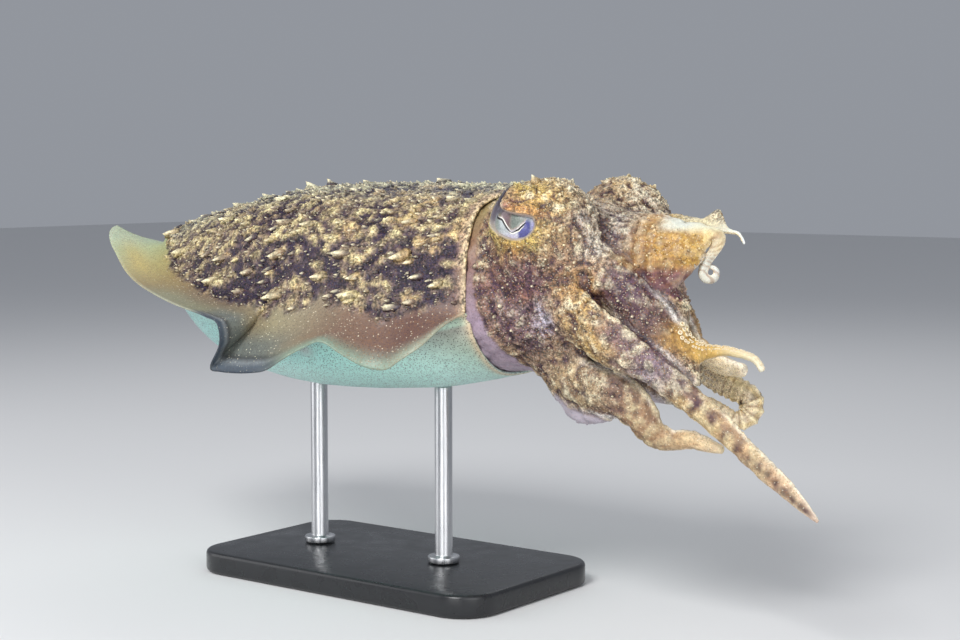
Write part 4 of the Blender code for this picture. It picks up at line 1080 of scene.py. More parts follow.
for k, name in enumerate(names):
    mine = on_arm * (arm_of == k)
    brush(stops(np.clip(arm_share + 0.03 * mottle, 0, 1), *ARM_PAINT[name]), 0.94 * mine)
    barred = name in ("right_4", "left_4", "right_3", "left_3")
    second = name in ("right_2", "left_2")
    blotched = mine * ease(mottle, 0.10, 0.42) * ease(arm_share, 0.12, 0.3)
    brush("#5e4040", (0.42 if barred else 0.15) * blotched)
    brush("#50353f", 0.6 * mine * second * ease(mottle, -0.25, 0.3) * (1 - ease(arm_share, 0.45, 0.6)))
    brush("#ecdcae", mine * (0.30 if barred else 0.12) * ease(-mottle, 0.18, 0.55))
# Dark saddles down the third arms' outer side, closer towards the tip.
thirds = on_arm * is_arm("right_3", "left_3") * ease(outer, -0.2, 0.3)
for at in (0.50, 0.565, 0.625, 0.68, 0.725, 0.765, 0.80, 0.835, 0.865, 0.895, 0.92, 0.945, 0.965):
    saddle = spot(arm_share - 0.010 * warp[:, 0], at, 0.0125, edge + 0.3 * warp[:, 1], -0.15, 0.55)
    brush("#43292c", 0.90 * thirds * np.clip(1.3 * saddle, 0, 1))
# A cream line along both edges of each arm, a cool keel under the fourth ones, and pale inner sides.
outlined = on_arm * ease(np.abs(edge), 0.90, 1.08) * ease(arm_share, 0.25, 0.5)
upper_side = is_arm("right_3") * ease(-edge, 0, 0.5) * (1 - ease(arm_share, 0.55, 0.7))
brush("#f3e8d0", 0.85 * outlined * (1 - upper_side))
brush("#664850", 0.65 * on_arm * upper_side * ease(arm_share, 0.15, 0.25))
keel = on_head * is_arm("right_4", "left_4") * ease(np.abs(edge), 1.05, 1.40)
keel *= ease(-hz, 34, 37) * band(arm_share, 0.16, 0.24, 0.55, 0.7)
brush("#aea5ae", keel)
brush("#ead9ba", on_arm * 0.85 * ease(-outer, 0.30, 0.6))
tops = on_arm * is_arm("right_1")
white_edge = tops * ease(hz, 17.5, 20.5) * ease(arm_share, 0.30, 0.42)
brush("#f0ebc8", white_edge)
brush("#7a4c52", 0.90 * on_head * is_arm("right_1") * ease(-hz, -9, -5)
      * band(arm_share, 0.24, 0.3, 0.45, 0.5))
rays = np.sin(np.arctan2(hz - 11, hy + 12) * 21 + 1.5 * mottle)
brush("#8a5a32", 0.55 * tops * ease(rays, 0.2, 0.9) * (1 - white_edge))
curled = on_arm * is_arm("left_3") * ease(arm_share, 0.5, 0.6)
# Painted shade in the troughs of the coil's ribs, and painted highlight on their crests.
brush("#7d5a36", 0.65 * curled * ease(-ribs, 0.0, 0.8))
brush("#f2e2b4", 0.55 * curled * ease(ribs, 0.2, 0.9))
# Painted shade in the hollows and wrinkles and painted highlight on the crests, all over the head.
plain = np.maximum(keel, white_edge)
fading = (1 - plain) * (1 - 0.7 * ease(arm_share, 0.6, 0.85) * on_arm)
head_tone = 0.5 * knobs_head / 0.4 - hollow / 0.05
creased = np.zeros(len(skin_points))
creased[is_head] = wrinkled
golden = 1 - 0.6 * on_arm * is_arm("right_1", "left_1")
golden *= 1 - 0.35 * on_arm * ease(arm_share, 0.25, 0.45)
golden *= 1 - 0.55 * on_arm * is_arm("right_2", "left_2")
fading *= golden
# Painted shade in the hollows and in the wrinkles.
brush("#3d2430", on_head * 0.85 * ease(-head_tone, 0.1, 1.7) * fading)
brush("#3a2230", on_head * 0.55 * ease(creased, 0.3, 1.0) * fading)
cheek = spot(hx, 16, 15, hz, -4, 13) * (1 - on_arm)
brush("#4f3140", on_head * 0.40 * cheek * ease(mottle, -0.3, 0.3))
# Painted highlight on the crests, fainter on the cheek.
brush("#efdfae", on_head * (0.66 - 0.42 * cheek) * ease(head_tone, 0.8, 2.2) * fading)
# The deepest hollows painted darkest, as shade.
brush("#2f1b2a", on_head * 0.8 * ease(hollow, 0.09, 0.30))
cooled = (is_head & (keel < 0.5)) * (1 - 0.85 * on_arm * ease(arm_share, 0.48, 0.62))
paint *= 1 + cooled[:, None] * (-0.16, -0.11, 0.08)
for at, radius in (((46, 16, 18), 10), ((36, 12, 25), 9), ((30, 20, 30), 7)):
    gap = np.linalg.norm(folded - at, axis=-1)
    brush("#d6cfbf", 0.45 * on_head * spot(gap, 0, radius) * ease(head_tone, -0.8, 0.8))
# The neck behind the head's brown: lilac below, tan and rosy above. (level, how far forward)
COLLAR = [(-34, 13), (-28, 11), (-20, 8.5), (-11, 5.5), (-3, 3.2), (4, 2.4), (12, 1.6), (20, 0.2),
          (28, -2.0)]
collar_to = np.interp(hz, *np.array(COLLAR).T)
collar = on_head * ease(collar_to + 0.5 * warp[:, 0] - hx, -0.5, 0.7) * (hx < 15)
brush(stops(hz, (-34, "#ad9dab"), (-12, "#978494"), (-2, "#8d767c"), (7, "#8c6d64"), (15, "#8d6d55"),
            (24, "#97855c")), 0.95 * collar)
# The eye's surround, in degrees of the eyeball.
rim_of = np.full(len(skin_points), 60.0)
up_of, on_of = np.zeros((2, len(skin_points)))
for side_now in (-1, 1):
    r, lon, lat = eye_angles(skin_points, side_now)
    near = np.flatnonzero((r < 17) & is_head)
    rim_of[near] = past_rim(lon[near], lat[near])
    up_of[near], on_of[near] = lat[near], lon[near]
close = spot(np.maximum(rim_of, 0), 0, 2.8)
brush("#b39b50", 0.60 * close * ease(-up_of, -14, 6))
brush("#ada055", 0.70 * close * ease(-on_of, 22, 40))
brush("#c78a42", 0.65 * close * ease(up_of, 8, 20) * ease(on_of, -12, 6))
brush("#85585a", 0.60 * spot(on_of, -6, 12, up_of, 30, 6) * ease(rim_of, -0.1, 0.4))
# A pale ring at the opening's edge, except on top: its own pale rim with a painted highlight along it.
brush("#c3b8b4", 0.55 * spot(rim_of, 0.10, 0.18) * (1 - ease(up_of, 20, 40)))
inner = ease(-rim_of, -0.15, 0.15)
brush("#8f8b96", inner)
# Up and back inside the opening, dark grey painted as the shade of the groove there.
brush("#544e5b", 0.85 * inner * ease(up_of, 4, 30) * ease(-on_of, -5, 15))
wall = ease(-rim_of, -0.7, -0.1) * ease(-on_of, 20, 36)
# The opening's back wall, painted dark as shade, darkest at the top.
brush("#554f5e", 0.85 * wall * ease(up_of, -4, 14))
brush("#3a3541", 0.8 * wall * ease(up_of, 26, 42))
brush("#a79db2", 0.7 * inner * ease(up_of, 26, 34) * spot(rim_of, -1.0, 0.22))
# The top of the groove painted near black, as shade.
brush("#2b2630", 0.8 * inner * ease(up_of, 46, 60))
# Inside the mouth, and the funnel.
mouth_skin = on_head * (hx < 60) * (side_y < 12) * (np.abs(hz + 4) < 9) * (hx > 47) * (1 - on_arm)
brush("#c9a7a0", 0.7 * mouth_skin)
jet_skin = on_head * (hx > 10) * (side_y < 14) * (hz < -24) * (1 - on_arm)
brush("#c9c2cb", 0.9 * jet_skin)
# How much grain, and how many dots, each part of the head has; bare parts have none.
bare = np.maximum.reduce([collar * 0.85, ease(-rim_of, -0.5, -0.1), keel, white_edge * 0.7, jet_skin])
gold = 0.5 * on_arm * is_arm("right_1")
thin_tip = 1 - 0.75 * ease(-arm_wide, -2.6, -1.2) * on_arm
slim = (1 - on_arm * (0.28 + 0.4 * ease(arm_share, 0.40, 0.65))) * (1 - gold)
grain = np.where(is_head, 0.85 * (1 - bare) * thin_tip * slim, grain)
dark_dots = np.where(is_head, 0.80 * (1 - 0.6 * bare) * thin_tip * slim, dark_dots) * (1 - inner)
warm_dots = np.where(is_head, 0.80 * (1 - bare) * thin_tip * (0.5 + 0.5 * slim), warm_dots)
pale_dots = np.where(is_head, 0.60 * (1 - bare), pale_dots)


def node(material, kind, inputs=(), **settings):
    """Adds one node, or takes the one given: its settings, then its inputs, by name or place, as
    values or links. Gives its outputs."""
    tree = material.node_tree
    made = tree.nodes.new("ShaderNode" + kind) if isinstance(kind, str) else kind
    for key, value in settings.items():
        setattr(made, key, value)
    for socket, value in (inputs if isinstance(inputs, dict) else dict(enumerate(inputs))).items():
        if isinstance(value, bpy.types.NodeSocket):
            tree.links.new(value, made.inputs[socket])
        else:
            made.inputs[socket].default_value = value
    return made.outputs


def new_material(name):
    """A new material and its shader."""
    material = bpy.data.materials.new(name)
    material.use_nodes = True
    return material, material.node_tree.nodes["Principled BSDF"]


# Platinum silicone, airbrushed and stippled: satin, a little deep, and speckled all over with
# the dots of the colour cells. The cells of living skin are 0.3 mm and less, too fine to show, so
# grain and dots are drawn as coarse as this.
FINE_GRAIN_MM, COARSE_GRAIN_MM = 0.95, 2.5
# Each kind of dot: spacing in millimetres, inner and outer radius as shares of it, and colour.
WARM_DOT, DARK_DOT, PALE_DOT = ((0.72, 0.18, 0.42, "#94663c"), (0.66, 0.16, 0.40, "#3a2b30"),
                                (1.20, 0.09, 0.20, "#f3ecd2"))
silicone, shader = new_material("airbrushed_silicone_skin")
at = node(silicone, "TexCoord")["Object"]
painted = node(silicone, "Attribute", attribute_name="paint")["Color"]
masks = node(silicone, "Attribute", attribute_name="stipple")
mask = node(silicone, "SeparateColor", [masks["Color"]])
fine = node(silicone, "TexNoise", {"Vector": at, "Scale": 1000 / FINE_GRAIN_MM, "Detail": 2.0})["Fac"]
coarse = node(silicone, "TexNoise", {"Vector": at, "Scale": 1000 / COARSE_GRAIN_MM, "Detail": 1.0})["Fac"]
fine_part = node(silicone, "Math", [fine, 0.65], operation="MULTIPLY")[0]
both = node(silicone, "Math", [coarse, 0.35, fine_part], operation="MULTIPLY_ADD")[0]
shade_by = node(silicone, "MapRange", [both, 0.39, 0.61, 0.22, 1.95])[0]
colour = node(silicone, "Mix", {0: mask["Red"], 6: painted, 7: shade_by},
              data_type="RGBA", blend_type="MULTIPLY")[2]
# One dot to a cell, and some cells left bare.
for kind_of_dot, amount, offset in ((WARM_DOT, masks["Alpha"], 0.31), (DARK_DOT, mask["Green"], 0.0),
                                    (PALE_DOT, mask["Blue"], 0.73)):
    spacing, inner, outer_edge, dot_colour = kind_of_dot
    moved = node(silicone, "VectorMath", [at, (offset, offset, offset)], operation="ADD")[0]
    cells = node(silicone, "TexVoronoi", {"Vector": moved, "Scale": 1000 / spacing})
    pick = node(silicone, "SeparateColor", [cells["Color"]])["Red"]
    inside = node(silicone, "MapRange", [cells["Distance"], inner, outer_edge, 1, 0])[0]
    taken = node(silicone, "MapRange", [pick, 0.02, 0.32, 0, 1])[0]
    dot = node(silicone, "Math", [inside, taken], operation="MULTIPLY")[0]
    factor = node(silicone, "Math", [dot, amount], operation="MULTIPLY")[0]
    colour = node(silicone, "Mix", {0: factor, 6: colour, 7: (*linear(dot_colour), 1)}, data_type="RGBA")[2]
height = node(silicone, "Math", [both, mask["Red"]], operation="MULTIPLY")[0]
relief = node(silicone, "Bump", {"Height": height, "Strength": 0.9, "Distance": 0.0011})["Normal"]
node(silicone, shader, {"Base Color": colour, "Normal": relief, "Roughness": 0.44,
                        "Specular IOR Level": 0.4, "Subsurface Weight": 0.10,
                        "Subsurface Scale": 0.0012, "Subsurface Radius": (1.0, 0.6, 0.4)})


def store_paint(obj, colours, *marks):
    """Keeps a piece's paint on its points, and its stipple where it has any."""
    painted = np.concatenate([colours, np.ones((len(colours), 1))], 1)
    for name, values in zip(("paint", "stipple"), (painted, *marks)):
        layer = obj.data.attributes.new(name, "FLOAT_COLOR", "POINT")
        layer.data.foreach_set("color", np.ascontiguousarray(values).ravel())


# In the stipple, red is the grain and its relief; green, blue and alpha are the three kinds of dot.
marks = np.clip(np.stack([grain, dark_dots, pale_dots, warm_dots], -1), 0, 1)
skin = mesh_object("skin", skin_points, skin_faces, silicone)
store_paint(skin, paint, marks)
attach(skin, "root")
FLESH = ["mantle", "fin_right", "fin_left", "head", "funnel", "mouth"]
FLESH += [f"arm_{arm}_{length}" for arm in ARMS for length in ("base", "middle", "tip")]
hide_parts(*FLESH)


# Papillae -----------------------------------------------------------------------------------------
# Soft horns of skin that the animal raises to break up its outline: big thorns on the back that
# lean rearwards, and small warts on back, brows and arm roots. Each foot is sunk in the skin.

corners = np.empty(3 * sum(len(f) - 2 for f in skin_faces), int)
skin.data.calc_loop_triangles()
skin.data.loop_triangles.foreach_get("vertices", corners)
corners = corners.reshape(-1, 3)
a, b, c = (skin_points[corners[:, k]] for k in range(3))
area = 0.5 * np.linalg.norm(np.cross(b - a, c - a), axis=-1)
skin_bvh = BVHTree.FromPolygons([tuple(p) for p in skin_points], [tuple(c) for c in corners.tolist()])
cream = linear("#f5eac4")


def lie(facing, way):
    """A direction laid along the skin."""
    return unit(way - facing * (way * facing).sum(-1, keepdims=True))


def settled(spots):
    """The places on the skin nearest to some points: point, facing, paint and the skin's point."""
    found = [skin_bvh.find_nearest(tuple(p)) for p in spots]
    at = np.array([corners[f[2]][0] for f in found])
    return np.array([tuple(f[0]) for f in found]), normal[at], paint[at], at


def scattered(count, weight, seed):
    """Random places on the skin, as thick as the weight says: point, facing and paint."""
    draw = np.random.default_rng(seed)
    weights = area * weight[corners].mean(1)
    chosen = draw.choice(len(corners), count, p=weights / weights.sum())
    u, v = draw.random((2, count))
    u, v = np.where(u + v > 1, 1 - u, u), np.where(u + v > 1, 1 - v, v)
    spread = np.stack([1 - u - v, u, v], -1)[..., None]
    foot, facing, tint = ((values[corners[chosen]] * spread).sum(1)
                          for values in (skin_points, normal, paint))
    return foot, unit(facing), tint, draw


def papillae(name, foot, facing, tint, ridge, size, tip, shape, sink, seed):
    """One piece of many papillae. Size is their length, width and height, tip the colour at the
    top, and shape the number of rings and sides, how sharp they are and how far they lean."""
    rings, sides, sharp, lean = shape
    draw = np.random.default_rng(seed)
    length, width, tall = (np.asarray(v)[:, None, None] for v in size)
    across = np.cross(facing, ridge)
    r = (1 - np.arange(rings) / rings)[None, :, None]
    angle = math.tau * np.arange(sides)[None, None] / sides
    wobble = 1 + 0.17 * draw.normal(size=(len(foot), rings, sides)) * (r < 1)
    u = length * (0.5 * r * np.cos(angle) * wobble - lean * (1 - r) ** 1.3)
    v = 0.5 * width * r * np.sin(angle) * wobble * (1 + 0.35 * np.cos(angle))
    up = tall * (1 - r) ** sharp + 0 * u
    up[:, 0] = -sink
    points = foot[:, None, None] + ridge[:, None, None] * u[..., None]
    points = points + across[:, None, None] * v[..., None] + facing[:, None, None] * up[..., None]
    length, tall = length[:, 0], tall[:, 0]
    top = foot - ridge * lean * length + facing * tall * (1 - 0.3 / rings) ** sharp
    below = foot - facing * sink
    points = np.concatenate([points.reshape(len(foot), -1, 3), below[:, None], top[:, None]], 1)
    first = points.shape[1] * np.arange(len(foot))[:, None, None]
    faces = []
    for kind in (loft_faces(rings, sides), np.array(end_fans(rings, sides))):
        faces += [tuple(f) for f in (first + kind).reshape(-1, kind.shape[1]).tolist()]
    obj = mesh_object(name, points.reshape(-1, 3), faces, silicone)
    height = np.concatenate([np.repeat(1 - r[0, :, 0], sides), [0.0, 1.0]])[None, :, None]
    # Painted shade at each papilla's foot; its tip is paler, its own colour with a painted highlight.
    base = tint[:, None] * (0.88 + 0.12 * np.clip(height * 2, 0, 1))
    colours = base + (tip[:, None] - base) * ease(height, 0.28, 0.92)
    marks = np.concatenate([0.75 - 0.35 * height, 0.6 * (1 - height), 0 * height, 0.5 * (1 - height)], -1)
    store_paint(obj, colours.reshape(-1, 3), np.tile(marks, (len(foot), 1, 1)).reshape(-1, 4))
    # Each papilla is a small patch at its root's place on the skin unrolled round its long axis.
    root = np.stack([(foot[:, 0] + 180) / 310, np.arctan2(foot[:, 1], foot[:, 2] + 6) / math.tau + 0.5], -1)
    disc = np.stack([(r * np.cos(angle)).ravel(), (r * np.sin(angle)).ravel()], -1)
    disc = np.concatenate([disc, [(0, 0), (0, 0)]]) * 0.0015
    unrolled = (root[:, None] + disc).reshape(-1, 2)
    layer = obj.data.uv_layers.new(name="OFBake")
    loops = np.empty(len(obj.data.loops), int)
    obj.data.loops.foreach_get("vertex_index", loops)
    layer.data.foreach_set("uv", unrolled[loops].ravel())
    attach(obj, "root")
    return obj


def toward_cream(tint, share):
    """A colour for each papilla, the given share of the way from the skin's to cream."""
    return tint + (cream - tint) * np.asarray(share)[:, None]


# Thorns of the back, where the skin is knobbly; each root is a fifth of its length up the ridge.
ridges = [thorn_frame(facing, side_now)[0] for _, facing, side_now, *_ in thorns]
roots = [tuple(thorn[0] + ridge * 0.2 * thorn[3]) for thorn, ridge in zip(thorns, ridges)]
lengths, heights = np.array([thorn[3:] for thorn in thorns]).T
foot, facing, tint, at = settled(roots)
keep = rough[np.minimum(at, trunk_count - 1)] > 0.4
ridges = np.array([tuple(ridge) for ridge in ridges])
foot, facing, tint, ridges, lengths, heights = (
    v[keep] for v in (foot, facing, tint, ridges, lengths, heights))
draw = np.random.default_rng(81)
tips = toward_cream(tint, np.where(lengths > 6.5, 0.95, draw.uniform(0.45, 0.95, len(foot))))
papillae("thorns", foot, facing, tint, lie(facing, ridges),
         (0.85 * lengths, 0.42 * lengths, 0.95 * heights), tips, (5, 8, 1.22, 0.46), 0.6, 82)

# Smaller ones between them, leaning the same way, on the pale skin more than in the dark.
BACK_WAY = (0.88, 0.0, 0.47)


def strewn(name, zone, count, seeds, way, stray, size, form, cream_share, shape, sink):
    """One piece of papillae scattered over a zone. Size is their least, its spread, and a power
    that makes the big ones rare; form is length, width, and least and most height for a size of
    1; and cream_share is the least, most and power of the cream in their tips."""
    foot, facing, tint, draw = scattered(count, zone, seeds[0])
    ridge = lie(facing, np.array(way) + draw.normal(0, stray, (count, 3)))
    least, spread, power = size
    size = least + spread * draw.random(count) ** power
    long, wide, *heights = form
    sizes = (long * size, wide * size, size * draw.uniform(*heights, count))
    *shares, power = cream_share
    tips = toward_cream(tint, draw.uniform(*shares, count) ** power)
    papillae(name, foot, facing, tint, ridge, sizes, tips, shape, sink, seeds[1])
    return draw


zone = np.zeros(len(skin_points))
zone[:trunk_count] = rough * (0.35 + 0.65 * (1 - dark[:trunk_count])) * (1 - near_lip) * (tx < 2)
strewn("back_papillae", zone, 2000, (83, 84), BACK_WAY, 0.22, (0.9, 1.9, 1.7),
       (1, 0.66, 0.32, 0.6), (0.1, 0.9, 1), (4, 8, 1.15, 0.36), 0.3)
draw = strewn("back_grains", zone, 2800, (88, 89), BACK_WAY, 0.3, (0.55, 0.6, 1),
              (1.2, 1, 0.4, 0.75), (0.1, 0.95, 1), (3, 7, 1.0, 0.25), 0.25)

# Knobs of the head: chosen ones (x, distance from the middle, z, width, height), then scattered
# ones, thick on the brows and cheeks.
KNOBS = [
    (12, 33, -6, 2.6, 1.9), (9, 33, -10, 1.9, 1.2), (20, 32, -10, 2.4, 1.6), (15, 31, -14, 1.9, 1.2),
    (20, 33, -4, 1.7, 1.1), (2, 32, 6, 2.8, 1.6), (4, 30, 13, 2.0, 1.2), (11, 34, 8, 1.8, 1.1),
    (36, 34, 0, 1.7, 1.1), (39, 31, 9, 1.8, 1.2), (31, 36, 9, 1.7, 1.0), (47, 28, 2, 2.1, 1.3),
    (45, 33, -3, 1.7, 1.1), (54, 28, -3, 1.6, 1.1), (48, 23, 12, 2.2, 1.3), (36, 34, 19, 2.0, 1.3),
    (49, 34, -8, 2.3, 1.2), (42, 35, -12, 1.7, 1.0), (22, 29, 36, 3.2, 3.4), (29, 25, 35, 1.8, 1.5),
    (34, 26, 32, 2.0, 1.6), (38, 22, 28, 1.8, 1.4), (43, 18, 25, 1.7, 1.2), (27, 33, 31, 1.7, 1.2),
    (33, 30, 30, 1.6, 1.1), (24, 16, 33, 1.7, 1.6), (30, 19, 34, 1.9, 1.7), (36, 16, 31, 1.6, 1.3),
    (17, 32, 33, 1.8, 1.3), (41, 30, 17, 1.8, 1.2), (46, 26, 16, 2.0, 1.2), (52, 24, 8, 1.7, 1.1),
    (26, 28, 36, 1.6, 1.3), (24, 28, -19, 1.6, 1.0), (33, 33, -14, 1.7, 1.0), (58, 26, -8, 1.6, 1.0)]
HEAD_WAY, HEAD_PAPILLA_WAY = (0.9, 0.0, 0.3), (0.9, 0.0, -0.25)
wide, tall = np.array([knob[3:] for knob in KNOBS] * 2).T
foot, facing, tint, _ = settled([(x, side * y, z) for side in (-1, 1) for x, y, z, *_ in KNOBS])
way = lie(facing, np.tile(HEAD_WAY, (len(foot), 1)))
papillae("head_knobs", foot, facing, tint, way, (wide * 1.1, wide, 0.85 * tall),
         toward_cream(tint, draw.uniform(0.55, 0.95, len(foot))), (5, 8, 0.95, 0.18), 0.4, 85)

calm = (1 - np.clip(collar, 0, 1)) * (1 - bare) * ease(rim_of, 0.7, 1.8) * on_head * (1 - 0.5 * cheek)
upper_arm = ease(outer, 0.1, 0.5) * (1 - ease(arm_share, 0.38, 0.62))
zone = calm * np.where(on_arm > 0.3, upper_arm, (hz > -22) * 1.0)
zone *= (hx > 3) * ease(0.10 - hollow, 0, 0.06)
strewn("head_papillae", zone, 2000, (86, 87), HEAD_PAPILLA_WAY, 0.3, (0.55, 0.9, 2.6),
       (1.25, 1, 0.4, 0.75), (0.1, 0.9, 1.3), (4, 8, 0.95, 0.2), 0.25)
strewn("head_grains", zone, 2600, (90, 91), HEAD_PAPILLA_WAY, 0.3, (0.4, 0.45, 1),
       (1.2, 1, 0.4, 0.75), (0, 0.7, 1), (3, 7, 1.0, 0.2), 0.2)

# Suckers ------------------------------------------------------------------------------------------
# Four rows of small cups line each arm's inner side, to hold what the animal catches. Each is a
# pale soft ring round a darker hollow, cast with the skin and sunk a little in it.

# The share of each arm's length from which its inner side is open to view.
SUCKER_FROM = {"right_1": 0.40, "left_1": 0.45, "right_2": 0.50, "left_2": 0.45, "right_3": 0.40,
               "left_3": 0.45, "right_4": 0.42, "left_4": 0.42}
# Across the arm, each row's place; every second row is set a step further on.
SUCKER_ROWS = (-0.60, -0.21, 0.21, 0.60)
# A cup's radius as a share of the arm's half width, its least, and the step to the next in radii.
SUCKER_SHARE, LEAST_SUCKER, SUCKER_STEP = 0.135, 0.26, 2.5
# The cup's profile from its foot over the rim and in: radius and height as shares, and colour.
CUP = ((0.80, -0.35, "#d2b988"), (1.0, 0.22, "#e3cfa2"), (0.96, 0.50, "#f3e6c4"),
       (0.74, 0.60, "#f6ecd0"), (0.50, 0.42, "#cdb08a"))
CUP_FOOT, CUP_FLOOR = (-0.35, "#d2b988"), (0.18, "#b08f6c")
CUP_SIDES = 8
COIL_MIDDLE = (76, 4, -38)
turn = math.tau * np.arange(CUP_SIDES) / CUP_SIDES
cup_points, cup_faces = [], []
for name, shape in ARMS.items():
    share, centre, way, out, wide, reached = arms[name]
    if name == "left_3":
        # Its coil is rolled inwards, so there the cups face the middle of the coil.
        inward = lie(way, centre - COIL_MIDDLE)
        out = unit(out + (inward - out) * ease(share, 0.55, 0.72)[:, None])
    if name == "right_2":
        # Its tip is twisted, so that its cups look up.
        out = unit(out + (lie(way, np.array((0, 0.35, -1.0))) - out) * ease(share, 0.50, 0.62)[:, None])
    across = np.cross(way, out)
    at = np.interp(SUCKER_FROM[name], share, reached)
    while at < reached[-1] - 1.2:
        k = int(np.searchsorted(reached, at))
        radius = max(LEAST_SUCKER, SUCKER_SHARE * wide[k])
        at += SUCKER_STEP * radius
        for lane, row in enumerate(SUCKER_ROWS):
            here = min(k + lane % 2, len(reached) - 1)
            start = centre[here] + across[here] * row * wide[here] - out[here] * 3 * wide[here] * 0.8
            hit, up, *_ = skin_bvh.ray_cast(Vector(start), Vector(out[here]), float(3.2 * wide[here]))
            if hit is None:
                continue
            hit, up = np.array(hit), np.array(up)
            # It has to be this arm's inner side that the ray found, and no neighbour's.
            if up @ out[here] > -0.3 or np.linalg.norm(hit - centre[here]) > 1.25 * wide[here]:
                continue
            one = lie(up, way[here])
            circle = np.cos(turn)[:, None] * one + np.sin(turn)[:, None] * np.cross(up, one)
            rings_now = [hit + up * radius * high + radius * r * circle for r, high, _ in CUP]
            ends = [hit + up * radius * high for high, _ in (CUP_FOOT, CUP_FLOOR)]
            first = len(cup_points) * (len(CUP) * CUP_SIDES + 2)
            cup_points.append(np.concatenate([*rings_now, ends]))
            cup_faces += [tuple(f) for f in loft_faces(len(CUP), CUP_SIDES, first)]
            cup_faces += end_fans(len(CUP), CUP_SIDES, first)
cup_colours = [linear(colour) for *_, colour in CUP for _ in range(CUP_SIDES)]
cup_colours += [linear(colour) for _, colour in (CUP_FOOT, CUP_FLOOR)]
suckers = mesh_object("suckers", np.concatenate(cup_points), cup_faces, silicone)
store_paint(suckers, np.tile(cup_colours, (len(cup_points), 1)), np.zeros((len(suckers.data.vertices), 4)))
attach(suckers, "root")

# Beak ---------------------------------------------------------------------------------------------
# Two horny jaws like a parrot's, the lower one closing outside the upper. They are carved and
# polished, and set in the lips of the mouth between the arm roots.

# Dark horn, polished by use: brown-black in faint layers, with a soft shine.
HORN_LAYER_MM = 1.2
horn, shader = new_material("polished_dark_horn")
at = node(horn, "TexCoord")["Object"]
layers = node(horn, "TexNoise", {"Vector": at, "Scale": 1000 / HORN_LAYER_MM, "Detail": 2.0})["Fac"]
layered = node(horn, "Mix", {0: layers, 6: (*linear("#1d120d"), 1), 7: (*linear("#4a2d1c"), 1)},
               data_type="RGBA")[2]
node(horn, shader, {"Base Color": layered, "Roughness": 0.28})
# Each jaw's radius, the way that its point hooks, and its level in the mouth.
JAWS = ((2.6, -1, 0.7), (3.0, 1, -0.9))
JAW_RINGS = 9
beak_points, beak_faces = [], []
for radius, hook, drop in JAWS:
    rows = []
    for t in np.linspace(0, 1, JAW_RINGS):
        girth = radius * (1 - t) ** 0.6 + 0.08
        middle = MOUTH_AT + (4.6 + 3.6 * t, 0, drop + hook * 1.7 * t ** 2)
        wide, high = 0.75 * girth * np.cos(turn), 0.8 * girth * np.sin(turn)
        rows.append(middle + np.stack([0 * turn, wide, high], -1))
    first = sum(len(p) for p in beak_points)
    beak_points.append(np.concatenate([*rows, [rows[0].mean(0), rows[-1].mean(0) + (0.1, 0, 0)]]))
    beak_faces += [tuple(f) for f in loft_faces(JAW_RINGS, CUP_SIDES, first)]
    beak_faces += end_fans(JAW_RINGS, CUP_SIDES, first)
beak = mesh_object("beak", np.concatenate(beak_points), beak_faces, horn)
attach(beak, "root")

# Eyes ---------------------------------------------------------------------------------------------
# Glass eyeballs, painted from behind: a silvery iris with a flap that hangs over the W-shaped
# pupil, which is a thin black slit edged with white.

EYE_SIDES, EYE_RINGS = 160, 80
# The pupil's line, in degrees forward of the side and degrees up.
PUPIL = [(-35, 17), (-31, 13.5), (-24, 12), (-16, 10), (-11, 5.5), (-7, 1), (-2, -4.5), (2.5, -8.5),
         (6, -9.8), (9.5, -9), (13.5, -7), (18, -5), (22, -1), (27, 3.5), (30, 7)]
# Raised strips along it: their line, half widths, height and finish. The pupil comes first, and
# then the white lines over its two arms and under its bend.
STRIPS = [(PUPIL, [0.04, 0.30, 0.30, 0.24, 0.26, 0.20, 0.08, 0.07, 0.12, 0.26, 0.28, 0.22, 0.04], 0.10, 1),
          ([(x + 1.8, y + 2.1) for x, y in PUPIL[1:8]], [0.03, 0.13, 0.14, 0.12, 0.03], 0.07, 2),
          ([(x + 0.2, y + 2.2) for x, y in PUPIL[10:14]], [0.03, 0.11, 0.12, 0.03], 0.07, 2),
          ([(x + 0.9, y - 2.1) for x, y in PUPIL[6:14]], [0.05, 0.20, 0.22, 0.20, 0.04], 0.07, 2)]


def on_eyeball(lon, lat, radius, side_now):
    """A point over the eyeball, from degrees forward and up."""
    lon, lat = np.radians(lon), np.radians(lat)
    way = np.stack([np.sin(lon) * np.cos(lat), side_now * np.cos(lon) * np.cos(lat), np.sin(lat)], -1)
    return EYE_AT * (1, side_now, 1) + way * np.asarray(radius)[..., None]


def ribbon(line, half, height, side_now):
    """A narrow raised strip over the eyeball, its sides sunk into it."""
    line = smooth_curve([(*p, 0) for p in line], 8)[:, :2]
    way = unit(np.gradient(line, axis=0))
    off = np.stack([-way[:, 1], way[:, 0]], -1)
    share = np.linspace(0, 1, len(line))
    half = np.interp(share, np.linspace(0, 1, len(half)), half)[:, None] / math.radians(EYE_RADIUS)
    columns = [(1.25, -0.25), (1.0, height), (0.4, height * 1.25)]
    columns += [(-out, up) for out, up in columns[::-1]]
    return np.stack([on_eyeball(*(line + off * half * out).T, EYE_RADIUS + up + 0 * share, side_now)
                     for out, up in columns], 1)


